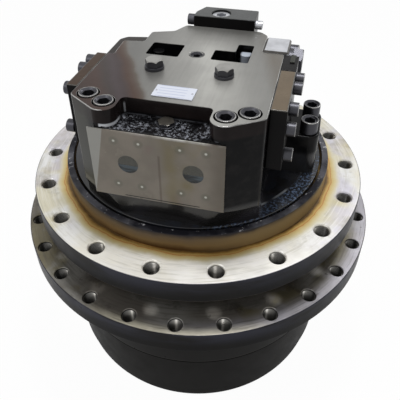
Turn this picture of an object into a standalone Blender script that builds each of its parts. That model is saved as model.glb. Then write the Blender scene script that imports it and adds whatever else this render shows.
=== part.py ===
"""Excavator final drive: a hydraulic travel motor with a two-stage planetary gearbox.

Metres, +Z up. The origin lies on the drive axis at the resting face of the gearbox cover, and the
hose ports face -Y. The frame spindle, the valve head and the second planet carrier stand still. The
hub housing, the ring gear and the end cover turn together as the output.
"""
import math

import bmesh
import bpy
from mathutils import Matrix, Vector

# Fits, shared by all pieces
SEAT_GAP = 0.0003
RUNNING_GAP = 0.0012
CUT_OVERRUN = 0.002
MERGE_DISTANCE = 0.00001

# Facets around the pieces
LARGE_STEPS = 32
MEDIUM_STEPS = 24
SMALL_STEPS = 12
HOLE_SIDES = 8
HEX_SIDES = 6
HALF_SIDE = math.pi / HOLE_SIDES
SHARP_ANGLE = math.radians(35)

# Stack of the gearbox drum, from the floor up
COVER_HEIGHT = 0.030
RING_GEAR_HEIGHT = 0.086
BARREL_HEIGHT = 0.1134
SPROCKET_FLANGE_THICKNESS = 0.035
COLLAR_HEIGHT = 0.035
FLANGE_SPACE = 0.0405
FRAME_FLANGE_THICKNESS = 0.0345
PILOT_HEIGHT = 0.030
HEAD_HEIGHT = 0.1596

# End cover
COVER_RADIUS = 0.224
COVER_EDGE = 0.009
COVER_FOOT_INNER_RADIUS = 0.152
COVER_DISH_DEPTH = 0.006
COVER_SCREW_COUNT = 12
COVER_SCREW_CIRCLE = 0.201
COVER_COUNTERBORE_RADIUS = 0.011
COVER_COUNTERBORE_DEPTH = 0.013
THRUST_PAD_RADIUS = 0.026
THRUST_PAD_HEIGHT = 0.007
THRUST_PAD_POCKET_DEPTH = 0.003
LEVEL_PLUG_COUNT = 3
LEVEL_PLUG_CIRCLE = 0.118
LEVEL_PLUG_PHASE = math.radians(95)
LEVEL_PLUG_HEAD_RADIUS = 0.0165
LEVEL_PLUG_HEAD_HEIGHT = 0.007
LEVEL_PLUG_SHANK_RADIUS = 0.0105
LEVEL_PLUG_LENGTH = 0.022

# Gear train: one ring gear serves both stages
MODULE = 0.006
PRESSURE_ANGLE = math.radians(25)
RING_TEETH = 60
SUN_1_TEETH = 12
PLANET_1_TEETH = 24
PLANET_1_COUNT = 3
SUN_2_TEETH = 16
PLANET_2_TEETH = 22
PLANET_2_COUNT = 4
TOOTH_THINNING = 0.0005
ADDENDUM_SHARE = 1.0
DEDENDUM_SHARE = 1.25
FINE_FLANK_SHARES = (0.0, 0.5, 1.0)
PLAIN_FLANK_SHARES = (0.0, 1.0)
RING_GEAR_RADIUS = 0.228
STAGE_1_RISE = 0.006
STAGE_1_FACE_WIDTH = 0.024
CARRIER_1_THICKNESS = 0.008
CARRIER_1_LOBE_RADIUS = 0.029
CARRIER_1_WAIST_RADIUS = 0.062
PIN_1_RADIUS = 0.017
STAGE_2_FACE_WIDTH = 0.042
CARRIER_2_LOBE_RADIUS = 0.032
CARRIER_2_WAIST_RADIUS = 0.112
CARRIER_2_BORE_RADIUS = 0.050
PIN_2_RADIUS = 0.020
PIN_CLEARANCE = 0.0008
SUN_2_BORE_RADIUS = 0.0225
SUN_STEM_RADIUS = 0.017
SUN_SPIGOT_RADIUS = 0.012
SUN_SPIGOT_LENGTH = 0.026

# Hub housing with the sprocket flange
BARREL_RADIUS = 0.232
SPROCKET_FLANGE_RADIUS = 0.2827
SPROCKET_FILLET = 0.014
FILLET_LIMIT_SHARE = 0.5
COLLAR_FILLET = 0.012
SPROCKET_HOLE_COUNT = 26
SPROCKET_HOLE_EDGE = 0.0151
SPROCKET_HOLE_CIRCLE = SPROCKET_FLANGE_RADIUS - SPROCKET_HOLE_EDGE
SPROCKET_HOLE_RADIUS = 0.0096
SPROCKET_HOLE_PHASE = math.radians(1.0)

# Main bearings between the spindle and the hub
BEARING_BORE_RADIUS = 0.128
BEARING_OUTER_RADIUS = 0.168
BEARING_WIDTH = 0.036
BEARING_SECTION = BEARING_OUTER_RADIUS - BEARING_BORE_RADIUS
BEARING_RING_SHARE = 0.35
BEARING_LIP_SHARE = 0.125
BEARING_SHOULDER_SHARE = 0.25
BEARING_SPACING = 0.0294
UPPER_BEARING_DEPTH = 0.013
NUT_HEIGHT = 0.011
NUT_SECTION_SHARE = 0.375

# Floating face seal under the frame flange
SPINDLE_NECK_MARGIN = 0.002
SPINDLE_NECK_RADIUS = BEARING_OUTER_RADIUS + SPINDLE_NECK_MARGIN
SEAL_RING_WIDTH = 0.017
SEAL_OUTER_RADIUS = SPINDLE_NECK_RADIUS + SEAL_RING_WIDTH
SEAL_CLEARANCE = 0.003
SEAL_BORE_RADIUS = SEAL_OUTER_RADIUS + SEAL_CLEARANCE
COLLAR_WALL = 0.022
COLLAR_RADIUS = SEAL_BORE_RADIUS + COLLAR_WALL
SEAL_RING_THICKNESS = 0.013
SEAL_TURNING_HEIGHT = 0.013
SEAL_LEDGE_DEPTH = 0.030

# Frame spindle with its flange and pilot boss
FRAME_FLANGE_RADIUS = 0.2605
FRAME_HOLE_COUNT = 18
FRAME_HOLE_EDGE = 0.0205
FRAME_HOLE_CIRCLE = FRAME_FLANGE_RADIUS - FRAME_HOLE_EDGE
FRAME_HOLE_RADIUS = 0.0112
FRAME_HOLE_PHASE = math.radians(10.0)
PILOT_RADIUS = 0.2065
PILOT_RIM = 0.0095
PILOT_RECESS_DEPTH = 0.0243
SPINDLE_NECK_RISE = 0.004
SPINDLE_NECK_STEP = 0.003
SPINDLE_WAIST_SHARE = 0.35
SPINDLE_END_WALL = 0.029
SPINDLE_SHAFT_HOLE_RADIUS = 0.032

# Hydraulic motor inside the spindle
CAVITY_RADIUS = 0.104
SHAFT_BEARING_RADIUS = 0.045
SHAFT_BEARING_WIDTH = 0.021
SHAFT_BEARING_LIP = 0.006
SHAFT_RADIUS = 0.020
SHAFT_SHOULDER = 0.003
SHAFT_SPLINE_RADIUS = 0.024
SHAFT_TOP_RADIUS = 0.017
SHAFT_TOP_LENGTH = 0.022
SWASH_RADIUS = 0.090
SWASH_HEIGHT = 0.031
SWASH_RIM_HEIGHT = 0.014
SWASH_BORE_RADIUS = 0.030
SWASH_ARC_POINTS = 10
PISTON_COUNT = 9
PISTON_CIRCLE = 0.060
PISTON_RADIUS = 0.0105
PISTON_CLEARANCE = 0.0007
SHOE_RADIUS = 0.016
SHOE_HEIGHT = 0.006
RETAINER_THICKNESS = 0.005
RETAINER_RADIUS = 0.080
RETAINER_BORE_RADIUS = 0.036
PISTON_LENGTH = 0.098
BLOCK_GAP = 0.024
BLOCK_RADIUS = 0.088
BLOCK_HEIGHT = 0.098
BLOCK_PORT_RADIUS = 0.006
BLOCK_PORT_DEPTH = 0.014
VALVE_PLATE_RADIUS = 0.080
VALVE_PLATE_THICKNESS = 0.0055
VALVE_PLATE_BORE_RADIUS = 0.028
KIDNEY_INNER_RADIUS = 0.055
KIDNEY_OUTER_RADIUS = 0.065
KIDNEY_HALF_ANGLE = math.radians(62)
KIDNEY_ARC_POINTS = 7

# Parking brake around the cylinder block
BRAKE_BORE_RADIUS = 0.114
BRAKE_DISC_RADIUS = 0.109
BRAKE_DISC_THICKNESS = 0.004
BRAKE_PLATE_BORE_RADIUS = 0.093
BRAKE_PLATE_THICKNESS = 0.005
BRAKE_PISTON_BORE_RADIUS = 0.097
BRAKE_PISTON_HEIGHT = 0.026
BRAKE_FLOOR = 0.0565

# Valve head, with lengths from the drive axis in plan
HEAD_FOOT_RADIUS = 0.1935
HEAD_FOOT_THICKNESS = 0.024
HEAD_SEAT_RADIUS = 0.090
HEAD_HALF_WIDTH = 0.122
HEAD_FRONT = 0.1825
HEAD_FRONT_HALF = 0.080
HEAD_SHOULDER = 0.155
HEAD_SIDE_REAR = 0.019
HEAD_TAIL_RIGHT = 0.0905
HEAD_TAIL_REAR = 0.0905
HEAD_TAIL_BEVEL = 0.012
HEAD_TAIL_LEFT = 0.040
HEAD_STEP_NEAR = 0.052
HEAD_STEP_FAR = 0.064
HEAD_STEP_INNER = 0.052
HEAD_STEP_OUTER = 0.085
HEAD_STEP_REAR = 0.016
HEAD_WING_REAR = 0.0115
HEAD_WING_OUTER = 0.116
HEAD_WING_NOTCH = 0.113
HEAD_WING_FRONT = 0.034
BOSS_FRONT = 0.033
BOSS_OUTER = 0.1275
BOSS_SIDE_REAR = 0.0225
BOSS_CORNER = 0.1185
BOSS_CORNER_REAR = 0.034
BOSS_REAR = 0.040
BOSS_REAR_OFFSET = 0.088
BOSS_ROOT = 0.070
BOSS_DROP = 0.003
BOSS_HEIGHT = 0.084
HEAD_NECK_HEIGHT = 0.028
HEAD_NECK_SLOPE = 0.018
HEAD_NECK_STEP = 0.001
RECESS_LEFT = 0.057
RECESS_RIGHT = 0.0585
RECESS_BACK = 0.1462
RECESS_DEPTH = 0.0246
RECESS_CORNER_RADIUS = 0.007
RECESS_CORNER_POINTS = 3
LOBE_CORNER_RADIUS = 0.015
LOBE_CORNER_POINTS = 4
POCKET_DEPTH = 0.040
POCKET_LEFT_FAR = 0.0695
POCKET_LEFT_NEAR = 0.022
POCKET_LEFT_FRONT = 0.0245
POCKET_LEFT_REAR = 0.016
POCKET_RIGHT_NEAR = 0.024
POCKET_RIGHT_FAR = 0.0766
POCKET_RIGHT_FRONT = 0.0212
POCKET_RIGHT_MIDDLE = 0.011
POCKET_RIGHT_STEP = 0.0536
POCKET_RIGHT_REAR = 0.037
UPPER_BEARING_RADIUS = 0.035
UPPER_BEARING_WIDTH = 0.020
LUG_REACH = 0.170
LUG_HALF_SPACING = 0.022
LUG_RADIUS = 0.016
LUG_HEIGHT = 0.065
LUG_ROOT = 0.115
LUG_ARC_POINTS = 5

# Ports in the head's front face
PORT_SPREAD = 0.0418
PORT_HEIGHT = 0.086
PORT_RADIUS = 0.0150
PORT_DEPTH = 0.045
PORT_SIDES = 16
PORT_SCREW_SPREAD = 0.0159
PORT_SCREW_RISE = 0.0333
PORT_SCREW_RADIUS = 0.0060
PORT_SCREW_DEPTH = 0.022
DRAIN_PORT_RISE = 0.026
DRAIN_PORT_RADIUS = 0.0055
FILM_LEFT = 0.091
FILM_RIGHT = 0.081
FILM_DROP = 0.054
FILM_RISE = 0.048
FILM_THICKNESS = 0.0012

# Screws and plugs of the head
HEAD_SCREW_INNER_OFFSET = 0.075
HEAD_SCREW_INNER_FRONT = 0.161
HEAD_SCREW_OUTER_OFFSET = 0.101
HEAD_SCREW_OUTER_FRONT = 0.147
HEAD_SCREW_PLACES = (
    (-HEAD_SCREW_OUTER_OFFSET, -HEAD_SCREW_OUTER_FRONT), (-HEAD_SCREW_INNER_OFFSET, -HEAD_SCREW_INNER_FRONT),
    (HEAD_SCREW_INNER_OFFSET, -HEAD_SCREW_INNER_FRONT), (HEAD_SCREW_OUTER_OFFSET, -HEAD_SCREW_OUTER_FRONT),
)
HEAD_SCREW_HEAD_RADIUS = 0.0130
HEAD_SCREW_HEAD_HEIGHT = 0.018
HEAD_SCREW_SHANK_RADIUS = 0.0085
HEAD_SCREW_BITE = 0.024
HEAD_SCREW_DEPTH = 0.002
SCREW_CLEARANCE = 0.001
COUNTERBORE_RADIUS = 0.0144
SOCKET_SHARE = 0.58
SOCKET_DEPTH_SHARE = 0.55
LUG_SCREW_HEAD_RADIUS = 0.0125
LUG_SCREW_HEAD_HEIGHT = 0.020
LUG_SCREW_SHANK_RADIUS = 0.0080
HEX_PLUG_RADIUS = 0.0125
HEX_PLUG_HEAD_HEIGHT = 0.013
HEX_PLUG_SHANK_RADIUS = 0.0085
HEX_PLUG_LENGTH = 0.016
HEX_PLUG_SPIN = math.radians(30)
HEX_PLUG_LEFT_OFFSET = 0.0425
HEX_PLUG_LEFT_FRONT = 0.064
HEX_PLUG_RIGHT_OFFSET = 0.053
HEX_PLUG_RIGHT_FRONT = 0.065
HEX_PLUG_TOP_PLACES = (
    ("hex_plug_left", -HEX_PLUG_LEFT_OFFSET, -HEX_PLUG_LEFT_FRONT),
    ("hex_plug_right", HEX_PLUG_RIGHT_OFFSET, -HEX_PLUG_RIGHT_FRONT),
)
HEX_PLUG_FRONT_OFFSET = 0.002
HEX_PLUG_FRONT_SETBACK = 0.0245
HEX_PLUG_FRONT_RADIUS = 0.0108
HEX_PLUG_FRONT_HEIGHT = 0.0055
HEX_PLUG_FRONT_SHANK_RADIUS = 0.0080
SOCKET_PLUG_OFFSET = 0.002
SOCKET_PLUG_FRONT = 0.010
SOCKET_PLUG_RADIUS = 0.0100
SOCKET_PLUG_LENGTH = 0.012

# Counterbalance valve across the head and its end caps
SPOOL_SETBACK = 0.085
SPOOL_DROP = 0.047
SPOOL_RADIUS = 0.0145
SPOOL_NECK_RADIUS = 0.0095
SPOOL_BORE_CLEARANCE = 0.0006
SPOOL_HALF_LENGTH = 0.116
SPOOL_LAND_SHARES = (0.94, 0.62, 0.48, 0.14)
SIDE_COVER_HEIGHT = 0.0876
RIGHT_COVER_THICKNESS = 0.0205
RIGHT_COVER_FRONT = 0.133
RIGHT_COVER_REAR = 0.018
LEFT_COVER_THICKNESS = 0.0155
LEFT_COVER_FRONT = 0.134
LEFT_COVER_REAR = -0.036
SPRING_POCKET_RADIUS = 0.018
SPRING_POCKET_DEPTH = 0.0095

# Valve block and relief valve behind the head
BLOCK_REAR_LEFT = 0.029
BLOCK_REAR_RIGHT = 0.067
BLOCK_REAR_DEPTH = 0.043
BLOCK_REAR_CORNER_WIDTH = 0.010
BLOCK_REAR_CORNER_LENGTH = 0.024
BLOCK_REAR_RISE = 0.0165
BLOCK_REAR_HEIGHT = 0.072
BLOCK_PLUG_OFFSET = 0.011
BLOCK_PLUG_SETBACK = 0.020
BLOCK_PLUG_RADIUS = 0.0145
BLOCK_PLUG_SINK = 0.003
BLOCK_PLUG_LENGTH = 0.016
END_PLUG_LEFT_RADIUS = 0.0085
END_PLUG_RIGHT_RADIUS = 0.0068
END_PLUG_REACH = 0.011
END_PLUG_SHANK_SHARE = 0.7
END_PLUG_BITE = 0.010
END_PLUG_SETBACK = 0.011
END_PLUG_DROP = 0.0105
RELIEF_WIDTH = 0.0362
RELIEF_DEPTH = 0.050
RELIEF_RISE = 0.0024
RELIEF_HEIGHT = 0.062
CARTRIDGE_RADIUS = 0.0205
CARTRIDGE_LENGTH = 0.020
CARTRIDGE_SETBACK = 0.026
CARTRIDGE_DROP = 0.024
CARTRIDGE_SHANK_SHARE = 0.62
CARTRIDGE_BITE = 0.018

# Heights that follow from the stack
RING_BOTTOM = COVER_HEIGHT + SEAT_GAP
RING_TOP = RING_BOTTOM + RING_GEAR_HEIGHT
HUB_BOTTOM = RING_TOP + SEAT_GAP
SPROCKET_BOTTOM = HUB_BOTTOM + BARREL_HEIGHT
SPROCKET_TOP = SPROCKET_BOTTOM + SPROCKET_FLANGE_THICKNESS
COLLAR_TOP = SPROCKET_TOP + COLLAR_HEIGHT
FRAME_BOTTOM = SPROCKET_TOP + FLANGE_SPACE
FRAME_TOP = FRAME_BOTTOM + FRAME_FLANGE_THICKNESS
PILOT_TOP = FRAME_TOP + PILOT_HEIGHT
HEAD_TOP = PILOT_TOP + HEAD_HEIGHT
RECESS_FLOOR = PILOT_TOP - PILOT_RECESS_DEPTH
FOOT_BOTTOM = PILOT_TOP - HEAD_FOOT_THICKNESS
PORT_Z = PILOT_TOP + PORT_HEIGHT

# Heights of the gear train
STAGE_1_BOTTOM = COVER_HEIGHT + STAGE_1_RISE
STAGE_1_TOP = STAGE_1_BOTTOM + STAGE_1_FACE_WIDTH
CARRIER_1_BOTTOM = STAGE_1_TOP + RUNNING_GAP
CARRIER_1_TOP = CARRIER_1_BOTTOM + CARRIER_1_THICKNESS
STAGE_2_BOTTOM = CARRIER_1_TOP + RUNNING_GAP
STAGE_2_TOP = STAGE_2_BOTTOM + STAGE_2_FACE_WIDTH
CARRIER_2_BOTTOM = STAGE_2_TOP + RUNNING_GAP

# Heights of the bearings, the spindle and the seal
UPPER_BEARING_TOP = SPROCKET_TOP - UPPER_BEARING_DEPTH
UPPER_BEARING_BOTTOM = UPPER_BEARING_TOP - BEARING_WIDTH
LOWER_BEARING_TOP = UPPER_BEARING_BOTTOM - BEARING_SPACING
LOWER_BEARING_BOTTOM = LOWER_BEARING_TOP - BEARING_WIDTH
NUT_TOP = LOWER_BEARING_BOTTOM - SEAT_GAP
NUT_BOTTOM = NUT_TOP - NUT_HEIGHT
SPINDLE_BOTTOM = NUT_BOTTOM - SEAT_GAP
SEAL_LEDGE = COLLAR_TOP - SEAL_LEDGE_DEPTH
SEAL_TURNING_BOTTOM = SEAL_LEDGE + SEAT_GAP
SEAL_TURNING_TOP = SEAL_TURNING_BOTTOM + SEAL_TURNING_HEIGHT
CAVITY_FLOOR = SPINDLE_BOTTOM + SPINDLE_END_WALL
BEARING_SEAT_FLOOR = CAVITY_FLOOR - SHAFT_BEARING_WIDTH - SEAT_GAP

# Heights of the motor
SWASH_BOTTOM = CAVITY_FLOOR + SEAT_GAP
SWASH_TOP = SWASH_BOTTOM + SWASH_HEIGHT
SHOE_BOTTOM = SWASH_TOP + SEAT_GAP
VALVE_PLATE_BOTTOM = SHOE_BOTTOM + BLOCK_GAP + BLOCK_HEIGHT + SEAT_GAP
VALVE_PLATE_TOP = VALVE_PLATE_BOTTOM + VALVE_PLATE_THICKNESS
CYLINDER_BLOCK_BOTTOM = SHOE_BOTTOM + BLOCK_GAP
CYLINDER_BLOCK_TOP = CYLINDER_BLOCK_BOTTOM + BLOCK_HEIGHT
HEAD_SEAT_FACE = VALVE_PLATE_TOP + SEAT_GAP
BRAKE_FLOOR_Z = RECESS_FLOOR - BRAKE_FLOOR

BODY_COLLECTION = "Excavator final drive"
CUTTER_COLLECTION = "Cutters"

# Colour, roughness and metallic value of each finish
FINISHES = {
    "bare_steel": ((0.62, 0.60, 0.55, 1.0), 0.38, 0.9),
    "dark_casting": ((0.030, 0.032, 0.036, 1.0), 0.35, 0.4),
    "drum_casting": ((0.045, 0.048, 0.055, 1.0), 0.55, 0.5),
    "gear_steel": ((0.50, 0.50, 0.52, 1.0), 0.30, 1.0),
    "black_screw": ((0.020, 0.020, 0.022, 1.0), 0.32, 0.7),
    "bright_steel": ((0.75, 0.75, 0.76, 1.0), 0.22, 1.0),
    "bronze": ((0.55, 0.36, 0.16, 1.0), 0.35, 0.9),
    "friction": ((0.20, 0.13, 0.08, 1.0), 0.80, 0.1),
    "film": ((0.55, 0.52, 0.46, 1.0), 0.30, 0.0),
}


def clear_scene():
    for old in list(bpy.data.objects):
        bpy.data.objects.remove(old, do_unlink=True)


def new_collection(name):
    collection = bpy.data.collections.new(name)
    bpy.context.scene.collection.children.link(collection)
    return collection


def finish_material(name):
    """The Principled material of one finish, made once."""
    found = bpy.data.materials.get(name)
    if found:
        return found
    color, roughness, metallic = FINISHES[name]
    material = bpy.data.materials.new(name)
    material.use_nodes = True
    shader = material.node_tree.nodes["Principled BSDF"]
    shader.inputs["Base Color"].default_value = color
    shader.inputs["Roughness"].default_value = roughness
    shader.inputs["Metallic"].default_value = metallic
    material.diffuse_color = color
    return material


def add_piece(name, mesh, finish=None, place=(0, 0, 0)):
    """Links a mesh as a part of the drive, or as a cutter where it has no finish."""
    piece = bpy.data.objects.new(name, mesh)
    piece.location = place
    if finish:
        bpy.data.collections[BODY_COLLECTION].objects.link(piece)
        mesh.materials.append(finish_material(finish))
    else:
        bpy.data.collections[CUTTER_COLLECTION].objects.link(piece)
        piece.hide_render = True
        piece.display_type = "WIRE"
    return piece


def mesh_from(build, name):
    mesh = bpy.data.meshes.new(name)
    build.to_mesh(mesh)
    build.free()
    return mesh


def boolean(target, other, operation):
    modifier = target.modifiers.new(other.name, "BOOLEAN")
    modifier.operation = operation
    modifier.solver = "EXACT"
    modifier.object = other


def cut(target, cutter):
    boolean(target, cutter, "DIFFERENCE")


def join(target, other):
    boolean(target, other, "UNION")


def turned(name, profile, finish=None, steps=LARGE_STEPS, place=(0, 0, 0), solid=False):
    """Turns (radius, height) points about Z. A ring's profile closes on itself, a solid's ends on the axis."""
    mesh = bpy.data.meshes.new(name)
    edges = [(index, index + 1) for index in range(len(profile) - 1)]
    if not solid:
        edges.append((len(profile) - 1, 0))
    mesh.from_pydata([(radius, 0, height) for radius, height in profile], edges, [])
    piece = add_piece(name, mesh, finish, place)
    screw = piece.modifiers.new("Turn", "SCREW")
    screw.steps = steps
    screw.render_steps = steps
    screw.use_merge_vertices = True
    screw.merge_threshold = MERGE_DISTANCE
    screw.use_smooth_shade = False
    return piece


def ring(name, outer, inner, low, high, finish=None, steps=LARGE_STEPS, place=(0, 0, 0)):
    """A plain ring of rectangular section."""
    profile = [(outer, high), (outer, low), (inner, low), (inner, high)]
    return turned(name, profile, finish, steps, place)


def plate(name, outlines, low, high, finish=None, place=(0, 0, 0)):
    """A flat outline with its holes, filled and extruded from one height to the other."""
    curve = bpy.data.curves.new(name, "CURVE")
    curve.dimensions = "2D"
    curve.fill_mode = "BOTH"
    curve.extrude = (high - low) / 2
    for outline in outlines:
        spline = curve.splines.new("POLY")
        spline.points.add(len(outline) - 1)
        for point, (x, y) in zip(spline.points, outline):
            point.co = (x, y, 0, 1)
        spline.use_cyclic_u = True
    guide = bpy.data.objects.new(name + "_outline", curve)
    bpy.context.scene.collection.objects.link(guide)
    bpy.context.view_layer.update()
    evaluated = guide.evaluated_get(bpy.context.evaluated_depsgraph_get())
    build = bmesh.new()
    build.from_mesh(bpy.data.meshes.new_from_object(evaluated))
    bpy.data.objects.remove(guide)
    bmesh.ops.remove_doubles(build, verts=build.verts, dist=MERGE_DISTANCE)
    bmesh.ops.recalc_face_normals(build, faces=build.faces)
    bmesh.ops.translate(build, verts=build.verts, vec=(0, 0, (high + low) / 2))
    return add_piece(name, mesh_from(build, name), finish, place)


def box(name, low, high, finish=None):
    """A box between two corners."""
    low, high = Vector(low), Vector(high)
    build = bmesh.new()
    bmesh.ops.create_cube(build, size=1)
    bmesh.ops.scale(build, verts=build.verts, vec=high - low)
    bmesh.ops.translate(build, verts=build.verts, vec=(high + low) / 2)
    return add_piece(name, mesh_from(build, name), finish)


def bars(name, places, radius, length, axis=(0, 0, 1), sides=HOLE_SIDES, finish=None, spin=0.0):
    """Round or six-sided bars, each from its place along the axis and turned about it by the spin."""
    axis = Vector(axis)
    turn = Vector((0, 0, 1)).rotation_difference(axis).to_matrix().to_4x4() @ Matrix.Rotation(spin, 4, "Z")
    build = bmesh.new()
    for place in places:
        centre = Vector(place) + axis * length / 2
        bmesh.ops.create_cone(
            build, cap_ends=True, segments=sides, radius1=radius, radius2=radius, depth=length,
            matrix=Matrix.Translation(centre) @ turn,
        )
    return add_piece(name, mesh_from(build, name), finish)


def shade_pieces():
    """Applies each piece's modifiers and shades its round faces smooth, with its corners kept sharp."""
    bpy.context.view_layer.update()
    graph = bpy.context.evaluated_depsgraph_get()
    pieces = list(bpy.data.collections[BODY_COLLECTION].objects)
    shaped = [bpy.data.meshes.new_from_object(piece.evaluated_get(graph)) for piece in pieces]
    for piece, mesh in zip(pieces, shaped):
        piece.modifiers.clear()
        piece.data = mesh
        mesh.shade_smooth()
        mesh.set_sharp_from_angle(angle=SHARP_ANGLE)


def circle_places(count, radius, height, phase=0.0):
    """Evenly spaced places on a circle about the drive axis."""
    angles = [phase + 2 * math.pi * index / count for index in range(count)]
    return [(radius * math.cos(angle), radius * math.sin(angle), height) for angle in angles]


def arc(centre, radius, start, end, count):
    """Points along an arc in plan, both ends included."""
    angles = [start + (end - start) * index / (count - 1) for index in range(count)]
    return [(centre[0] + radius * math.cos(angle), centre[1] + radius * math.sin(angle)) for angle in angles]


def circle(radius, count):
    return [(x, y) for x, y, height in circle_places(count, radius, 0)]


def involute(angle):
    return math.tan(angle) - angle


def gear_outline(teeth, phase, shares, internal=False):
    """Outline of a gear's teeth in plan: involute flanks between the root and the tip."""
    pitch_radius = MODULE * teeth / 2
    side = -1 if internal else 1
    root = pitch_radius - side * DEDENDUM_SHARE * MODULE
    tip = pitch_radius + side * ADDENDUM_SHARE * MODULE
    flank = []
    for share in shares:
        radius = root + (tip - root) * share
        roll = math.acos(min(1.0, pitch_radius * math.cos(PRESSURE_ANGLE) / radius))
        half = math.pi / (2 * teeth) - TOOTH_THINNING / (2 * pitch_radius)
        half += side * (involute(PRESSURE_ANGLE) - involute(roll))
        flank.append((radius, half))
    outline = []
    for tooth in range(teeth):
        middle = phase + 2 * math.pi * tooth / teeth
        sides = [(radius, middle - half) for radius, half in flank]
        sides += [(radius, middle + half) for radius, half in reversed(flank)]
        outline += [(radius * math.cos(angle), radius * math.sin(angle)) for radius, angle in sides]
    return outline


def sun_phase(sun_teeth, planet_teeth):
    """An odd planet needs the sun half a tooth round, so that the ring's first tooth stays on +X."""
    return (planet_teeth % 2) * math.pi / sun_teeth


def planet_phase(angle, sun_teeth, planet_teeth):
    """Turn of a planet's first tooth that meshes it with the sun and the ring."""
    rolled = (angle - sun_phase(sun_teeth, planet_teeth)) * sun_teeth / planet_teeth
    return angle + math.pi - math.pi / planet_teeth + rolled


def centre_distance(sun_teeth, planet_teeth):
    return MODULE * (sun_teeth + planet_teeth) / 2


def lobed_outline(count, reach, lobe_radius, waist_radius):
    """Outline of a carrier plate: a round lobe around each pin, with the waist between them."""
    outline = []
    step = 2 * math.pi / count
    for index in range(count):
        angle = step * index
        centre = (reach * math.cos(angle), reach * math.sin(angle))
        outline += arc(centre, lobe_radius, angle - math.pi / 2, angle + math.pi / 2, LUG_ARC_POINTS)
        middle = angle + step / 2
        outline.append((waist_radius * math.cos(middle), waist_radius * math.sin(middle)))
    return outline


def socket_screw(name, place, top, head_radius, head_height, shank_radius, bottom):
    """A socket head screw that stands upright: a turned body with a hexagonal socket."""
    x, y = place
    under_head = top - head_height
    profile = [(0, top), (head_radius, top), (head_radius, under_head), (shank_radius, under_head)]
    profile += [(shank_radius, bottom), (0, bottom)]
    screw = turned(name, profile, "black_screw", SMALL_STEPS, (x, y, 0), solid=True)
    depth = head_height * SOCKET_DEPTH_SHARE
    cut(screw, bars(name + "_socket", [(x, y, top - depth)], head_radius * SOCKET_SHARE, depth + CUT_OVERRUN,
                    sides=HEX_SIDES))
    return screw


def hex_plug(name, place, seat, head_radius, head_height, shank_radius):
    """An upright plug with a hexagonal head on a round shank."""
    x, y = place
    plug = bars(name, [(x, y, seat + SEAT_GAP)], head_radius, head_height, sides=HEX_SIDES,
                finish="black_screw", spin=HEX_PLUG_SPIN)
    shank = bars(name + "_shank", [(x, y, seat - HEX_PLUG_LENGTH)], shank_radius,
                 HEX_PLUG_LENGTH + head_height / 2, sides=SMALL_STEPS)
    join(plug, shank)
    return plug


def make_end_cover():
    """The gearbox's end cover, which the drive stands on, with its thrust pad and level plugs."""
    pocket = COVER_HEIGHT - THRUST_PAD_POCKET_DEPTH
    pad_radius = THRUST_PAD_RADIUS + SEAT_GAP
    profile = [
        (0, pocket), (pad_radius, pocket), (pad_radius, COVER_HEIGHT), (COVER_RADIUS, COVER_HEIGHT),
        (COVER_RADIUS, COVER_EDGE),
        (COVER_RADIUS - COVER_EDGE, 0), (COVER_FOOT_INNER_RADIUS, 0),
        (COVER_FOOT_INNER_RADIUS - COVER_DISH_DEPTH, COVER_DISH_DEPTH), (0, COVER_DISH_DEPTH),
    ]
    cover = turned("end_cover", profile, "drum_casting", solid=True)
    screws = circle_places(COVER_SCREW_COUNT, COVER_SCREW_CIRCLE, -CUT_OVERRUN)
    cut(cover, bars("cover_counterbores", screws, COVER_COUNTERBORE_RADIUS,
                    COVER_COUNTERBORE_DEPTH + CUT_OVERRUN, spin=HALF_SIDE))
    seat = COVER_DISH_DEPTH + LEVEL_PLUG_HEAD_HEIGHT
    plugs = circle_places(LEVEL_PLUG_COUNT, LEVEL_PLUG_CIRCLE, 0, LEVEL_PLUG_PHASE)
    cut(cover, bars("level_plug_seats", plugs, LEVEL_PLUG_HEAD_RADIUS + RUNNING_GAP, seat))
    cut(cover, bars("level_plug_holes", plugs, LEVEL_PLUG_SHANK_RADIUS + SEAT_GAP, COVER_HEIGHT + CUT_OVERRUN))
    for number, (x, y, height) in enumerate(plugs, 1):
        low, high = COVER_DISH_DEPTH, seat - SEAT_GAP
        tip = low + LEVEL_PLUG_LENGTH
        plug_profile = [(0, tip), (LEVEL_PLUG_SHANK_RADIUS, tip), (LEVEL_PLUG_SHANK_RADIUS, high),
                        (LEVEL_PLUG_HEAD_RADIUS, high), (LEVEL_PLUG_HEAD_RADIUS, low), (0, low)]
        turned(f"level_plug_{number}", plug_profile, "black_screw", HOLE_SIDES, (x, y, 0), solid=True)
    pad_low = pocket + SEAT_GAP
    pad_high = pocket + THRUST_PAD_HEIGHT
    pad = [(0, pad_high), (THRUST_PAD_RADIUS, pad_high), (THRUST_PAD_RADIUS, pad_low), (0, pad_low)]
    turned("thrust_pad", pad, "bronze", SMALL_STEPS, solid=True)


def make_ring_gear():
    """The ring gear is also the lower drum wall. Both stages run in its teeth."""
    teeth = gear_outline(RING_TEETH, 0, PLAIN_FLANK_SHARES, internal=True)
    plate("ring_gear", [circle(RING_GEAR_RADIUS, LARGE_STEPS), teeth], RING_BOTTOM, RING_TOP, "drum_casting")


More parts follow.
